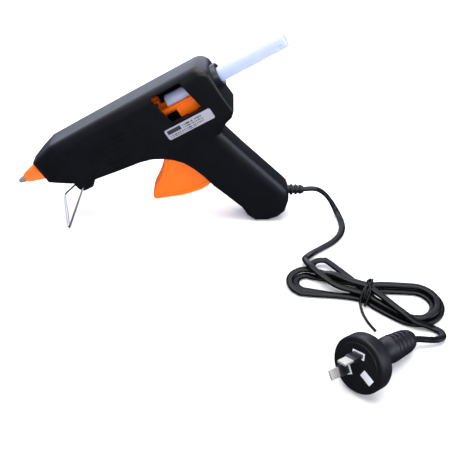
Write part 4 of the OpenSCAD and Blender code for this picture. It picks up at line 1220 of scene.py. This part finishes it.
@dataclass
class Plug:
    """The moulded two-pin plug, lying on its rim."""

    shop: Workshop
    diameter: float = 38.0
    rim: float = 11.0
    length: float = 58.0
    tilt: float = 14.0
    turn: float = 42.0
    roll: float = -70.0
    place_xy: Point2 = (248.0, -192.5)
    pin: Point3 = (17.0, 1.6, 6.35)
    pitch: float = 7.9
    slant: float = 30.0
    land: float = 0.5

    def frame(self) -> WorkFrame:
        """The plug's working frame."""
        t = math.radians(self.tilt)
        z = self.diameter / 2 * math.cos(t) + self.rim * math.sin(t)
        return plug_frame(self.shop.bench, (*self.place_xy, z), self.tilt, self.turn, self.roll)

    def cord_end(self) -> Vector:
        """Where the flex enters the plug, in the bench frame."""
        return self.shop.bench.matrix.inverted() @ self.frame().at(self.length - 1.5, 0, 0)

    def body(self) -> bpy.types.Object:
        """The moulded body: face, rim, cone and ribbed grip."""
        bm = bmesh.new()
        r = self.diameter / 2
        profile = [(0, 0), (0, r - 4.2), (0.3, r - 3.8), (0.35, r - 1.6), (0.8, r - 0.6), (1.6, r),
                   (self.rim - 1.2, r), (self.rim - 0.3, r - 0.5), (self.rim, r - 1.4), (self.rim, 13.2),
                   (self.rim + 0.4, 12.8), (self.rim + 5.4, 11.9), (self.rim + 6.2, 11.2), (self.rim + 8.0, 9.2),
                   (self.rim + 12.0, 8.5), (self.rim + 18.5, 8.2), (self.rim + 20.0, 8.9), (self.rim + 21.5, 9.1)]
        for i in range(4):
            x, big = self.rim + 23.0 + 4.4 * i, 9.15 - 0.3 * i
            profile += [(x, big), (x + 0.3, big - 1.3), (x + 1.5, big - 1.4), (x + 1.8, big - 0.15),
                        (x + 2.4, big - 0.05)]
        profile += [(self.rim + 40.6, 7.9), (self.rim + 42.6, 7.4), (self.length - 2.6, 6.8),
                    (self.length - 0.8, 5.8), (self.length, 4.4), (self.length, 0)]
        lathe(bm, profile, 96)
        self.fill_lands(bm)
        obj = new_object("plug_moulding", bm, self.frame())
        return self.shop.place(obj, PLUG_PVC, Body.HOUSING, "plug_black", "plug_body", degrees=34)

    def fill_lands(self, bm: bmesh.types.BMesh) -> None:
        """Fills the grip's grooves along two lands, so that slots are left on two sides of it."""
        for vert in bm.verts:
            x, y, z = vert.co
            r = math.hypot(y, z)
            if not self.rim + 22.5 < x < self.rim + 39.5:
                continue
            crown = 9.1 - 0.065 * (x - self.rim - 22.5)
            share = min(max((abs(math.cos(math.atan2(z, y) - self.land)) - 0.62) / 0.16, 0.0), 1.0)
            if r < crown:
                vert.co.yz = Vector((y, z)) * (1 + share * (crown / r - 1))

    def insert(self) -> bpy.types.Object:
        """The pale insert as it shows in the face: a pad round each pin and one at the blank earth place."""
        bm = bmesh.new()
        for s in (-1, 1):
            fresh = block(bm, (-0.25, -2.3, -4.6), (0.4, 2.3, 4.6))
            self.to_pin(bm, fresh, s)
        fresh = block(bm, (-0.25, -2.6, -4.4), (0.4, 2.6, 4.4))
        bmesh.ops.translate(bm, verts=fresh, vec=(0, 0, -9.6))
        soften(bm, 0.2, 50)
        obj = new_object("plug_inlay", bm, self.frame())
        return self.shop.place(obj, PALE_INSERT, Body.HOUSING, "insert_pale", "plug_insert")

    def to_pin(self, bm: bmesh.types.BMesh, verts: list, s: int) -> None:
        """Moves what was made at the origin to one pin's place and slant."""
        bmesh.ops.translate(bm, verts=verts, vec=(0, s * self.pitch, 0))
        slanted = Matrix.Rotation(math.radians(s * self.slant), 3, "X")
        bmesh.ops.rotate(bm, verts=verts, cent=(0, 0, 0), matrix=slanted)

    def pins(self) -> list[bpy.types.Object]:
        """The two flat pins and their sleeves."""
        length, thick, wide = self.pin
        made = []
        for name, finish, slot, node, low, high in (
            ("plug_blades", NICKEL, "pin_nickel", "plug_pins", (-length, -thick / 2, -wide / 2),
             (7, thick / 2, wide / 2)),
            ("blade_sleeves", SMOOTH_BLACK_ABS, "sleeve_black", "pin_sleeves",
             (-9, -thick / 2 - 0.5, -wide / 2 - 0.5), (0.3, thick / 2 + 0.5, wide / 2 + 0.5)),
        ):
            bm = bmesh.new()
            for s in (-1, 1):
                part = bmesh.new()
                block(part, low, high)
                soften(part, 0.35, 50, 3)
                self.to_pin(part, part.verts[:], s)
                absorb(bm, part)
            obj = new_object(name, bm, self.frame())
            made.append(self.shop.place(obj, finish, Body.HOUSING, slot, node))
        return made

    def build(self) -> list[bpy.types.Object]:
        """Makes the plug and returns its pieces."""
        return [self.body(), self.insert(), *self.pins()]


# ---------------------------------------------------------------- carried-over pieces
CARRIED = {
    "shell_screws": ZINC_STEEL, "melt_chamber": CAST_ALUMINIUM, "ptc_heater": PTC_CERAMIC,
    "heater_electrodes": BRASS_STRIP, "heater_clip": ZINC_STEEL, "inlet_sleeve": RED_SILICONE,
    "sleeve_clamp": ZINC_STEEL, "gripper_jaw": ZINC_STEEL, "jaw_pin": ZINC_STEEL, "trigger_pin": ZINC_STEEL,
    "return_spring": ZINC_STEEL, "cord_clamp": SMOOTH_BLACK_ABS, "clamp_screws": ZINC_STEEL, "live_wire": BROWN_PVC,
    "neutral_wire": BLUE_PVC, "wire_sleeves": GLASS_BRAID,
}


def dress_carried(shop: Workshop) -> None:
    """Gives each carried-over piece its finish."""
    for node, finish in CARRIED.items():
        dress(frame["nodes"][node], shop.finish(finish))
        LOG.info("%s: %s", node, finish.name)


# ---------------------------------------------------------------- studio
@dataclass
class Studio:
    """Camera, floor and soft light.

    Args:
        target: point that the camera looks at, in metres.
        distance: how far the camera stands from it.
        azimuth: degrees that the camera stands round from the gun's left side.
        elevation: degrees above the bench.
        lens: focal length in millimetres.
    """

    target: Point3 = (0.0615, 0.0, -0.0191)
    distance: float = 0.65
    azimuth: float = 0.0
    elevation: float = 37.0
    lens: float = 60.0

    def camera(self) -> None:
        """Creates the camera."""
        a, e = math.radians(self.azimuth), math.radians(self.elevation)
        away = Vector((math.sin(a) * math.cos(e), -math.cos(a) * math.cos(e), math.sin(e)))
        data = bpy.data.cameras.new("camera")
        data.lens = self.lens
        data.sensor_width = 36.0
        data.clip_end = 30
        camera = link("camera", data)
        camera.location = Vector(self.target) + away * self.distance
        camera.rotation_euler = away.to_track_quat("Z", "Y").to_euler()
        bpy.context.scene.camera = camera

    def floor(self) -> None:
        """A plain pale floor."""
        bm = bmesh.new()
        bmesh.ops.create_grid(bm, x_segments=1, y_segments=1, size=4.0)
        floor = link("floor", to_mesh("floor", bm))
        floor.location.z = -0.0002
        floor.visible_glossy = False
        material = bpy.data.materials.new("studio_floor")
        material.use_nodes = True
        sockets = material.node_tree.nodes["Principled BSDF"].inputs
        sockets["Base Color"].default_value = linear("#f4f4f5")
        sockets["Roughness"].default_value = 0.9
        floor.data.materials.append(material)
        floor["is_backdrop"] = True

    def softbox(self, name: str, place: Point3, aim: Point3, size: Point2, power: float,
                tint: str = "#ffffff") -> bpy.types.AreaLight:
        """One rectangular softbox."""
        data = bpy.data.lights.new(name, "AREA")
        data.shape = "RECTANGLE"
        data.size, data.size_y = size
        data.energy = power
        data.color = linear(tint)[:3]
        light = link(name, data)
        light.location = place
        light.rotation_euler = (Vector(place) - Vector(aim)).to_track_quat("Z", "Y").to_euler()
        return data

    def lights(self) -> None:
        """A broad box overhead, one behind the gun, one at its handle's side, and a faint fill."""
        self.softbox("overhead", (0.0, 0.1, 1.3), (0.05, -0.05, 0.0), (1.8, 1.6), 40.0)
        self.softbox("behind", (-0.35, 1.25, 0.55), (0.0, 0.0, 0.1), (2.4, 0.9), 22.0, "#e2e8ff")
        self.softbox("side", (1.25, -0.3, 0.42), (0.1, 0.0, 0.05), (0.7, 0.9), 9.0, "#e6ebff")
        fill = self.softbox("fill", (0.3, -1.4, 0.9), (0.05, 0.0, 0.05), (1.6, 0.8), 14.0)
        fill.specular_factor = 0.22
        world = bpy.data.worlds.new("studio")
        world.use_nodes = True
        sockets = world.node_tree.nodes["Background"].inputs
        sockets["Color"].default_value = (0.86, 0.88, 0.92, 1)
        sockets["Strength"].default_value = 0.07
        bpy.context.scene.world = world

    def build(self) -> None:
        """Sets up the whole studio."""
        self.camera()
        self.floor()
        self.lights()
        bpy.context.scene.view_settings.view_transform = "Standard"


def corners(box: Iterable[Sequence[float]]) -> list[list[float]]:
    """A box as plain lists."""
    return [[float(x) for x in corner] for corner in box]


def main() -> None:
    """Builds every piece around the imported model."""
    logging.basicConfig(level=logging.INFO, format="%(message)s")
    cad_box = corners(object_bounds())
    barrel = barrel_frame(frame["joints"])
    shop = Workshop(barrel, bench_frame(barrel))
    Studio().build()
    plug = Plug(shop)
    flex = Flex(shop)
    fittings = FlexFittings(shop, flex)
    flex.build(plug.cord_end(), lambda: [fittings.relief(), *fittings.tie(), *plug.build()])
    casing = Casing(shop)
    casing.build()
    casing.label()
    BarrelTurnings(shop).build()
    TriggerTrain(shop).build()
    Stand(shop).build()
    dress_carried(shop)
    {"cad": cad_box, "visual": corners(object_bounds())}


if __name__ == "__main__":
    main()
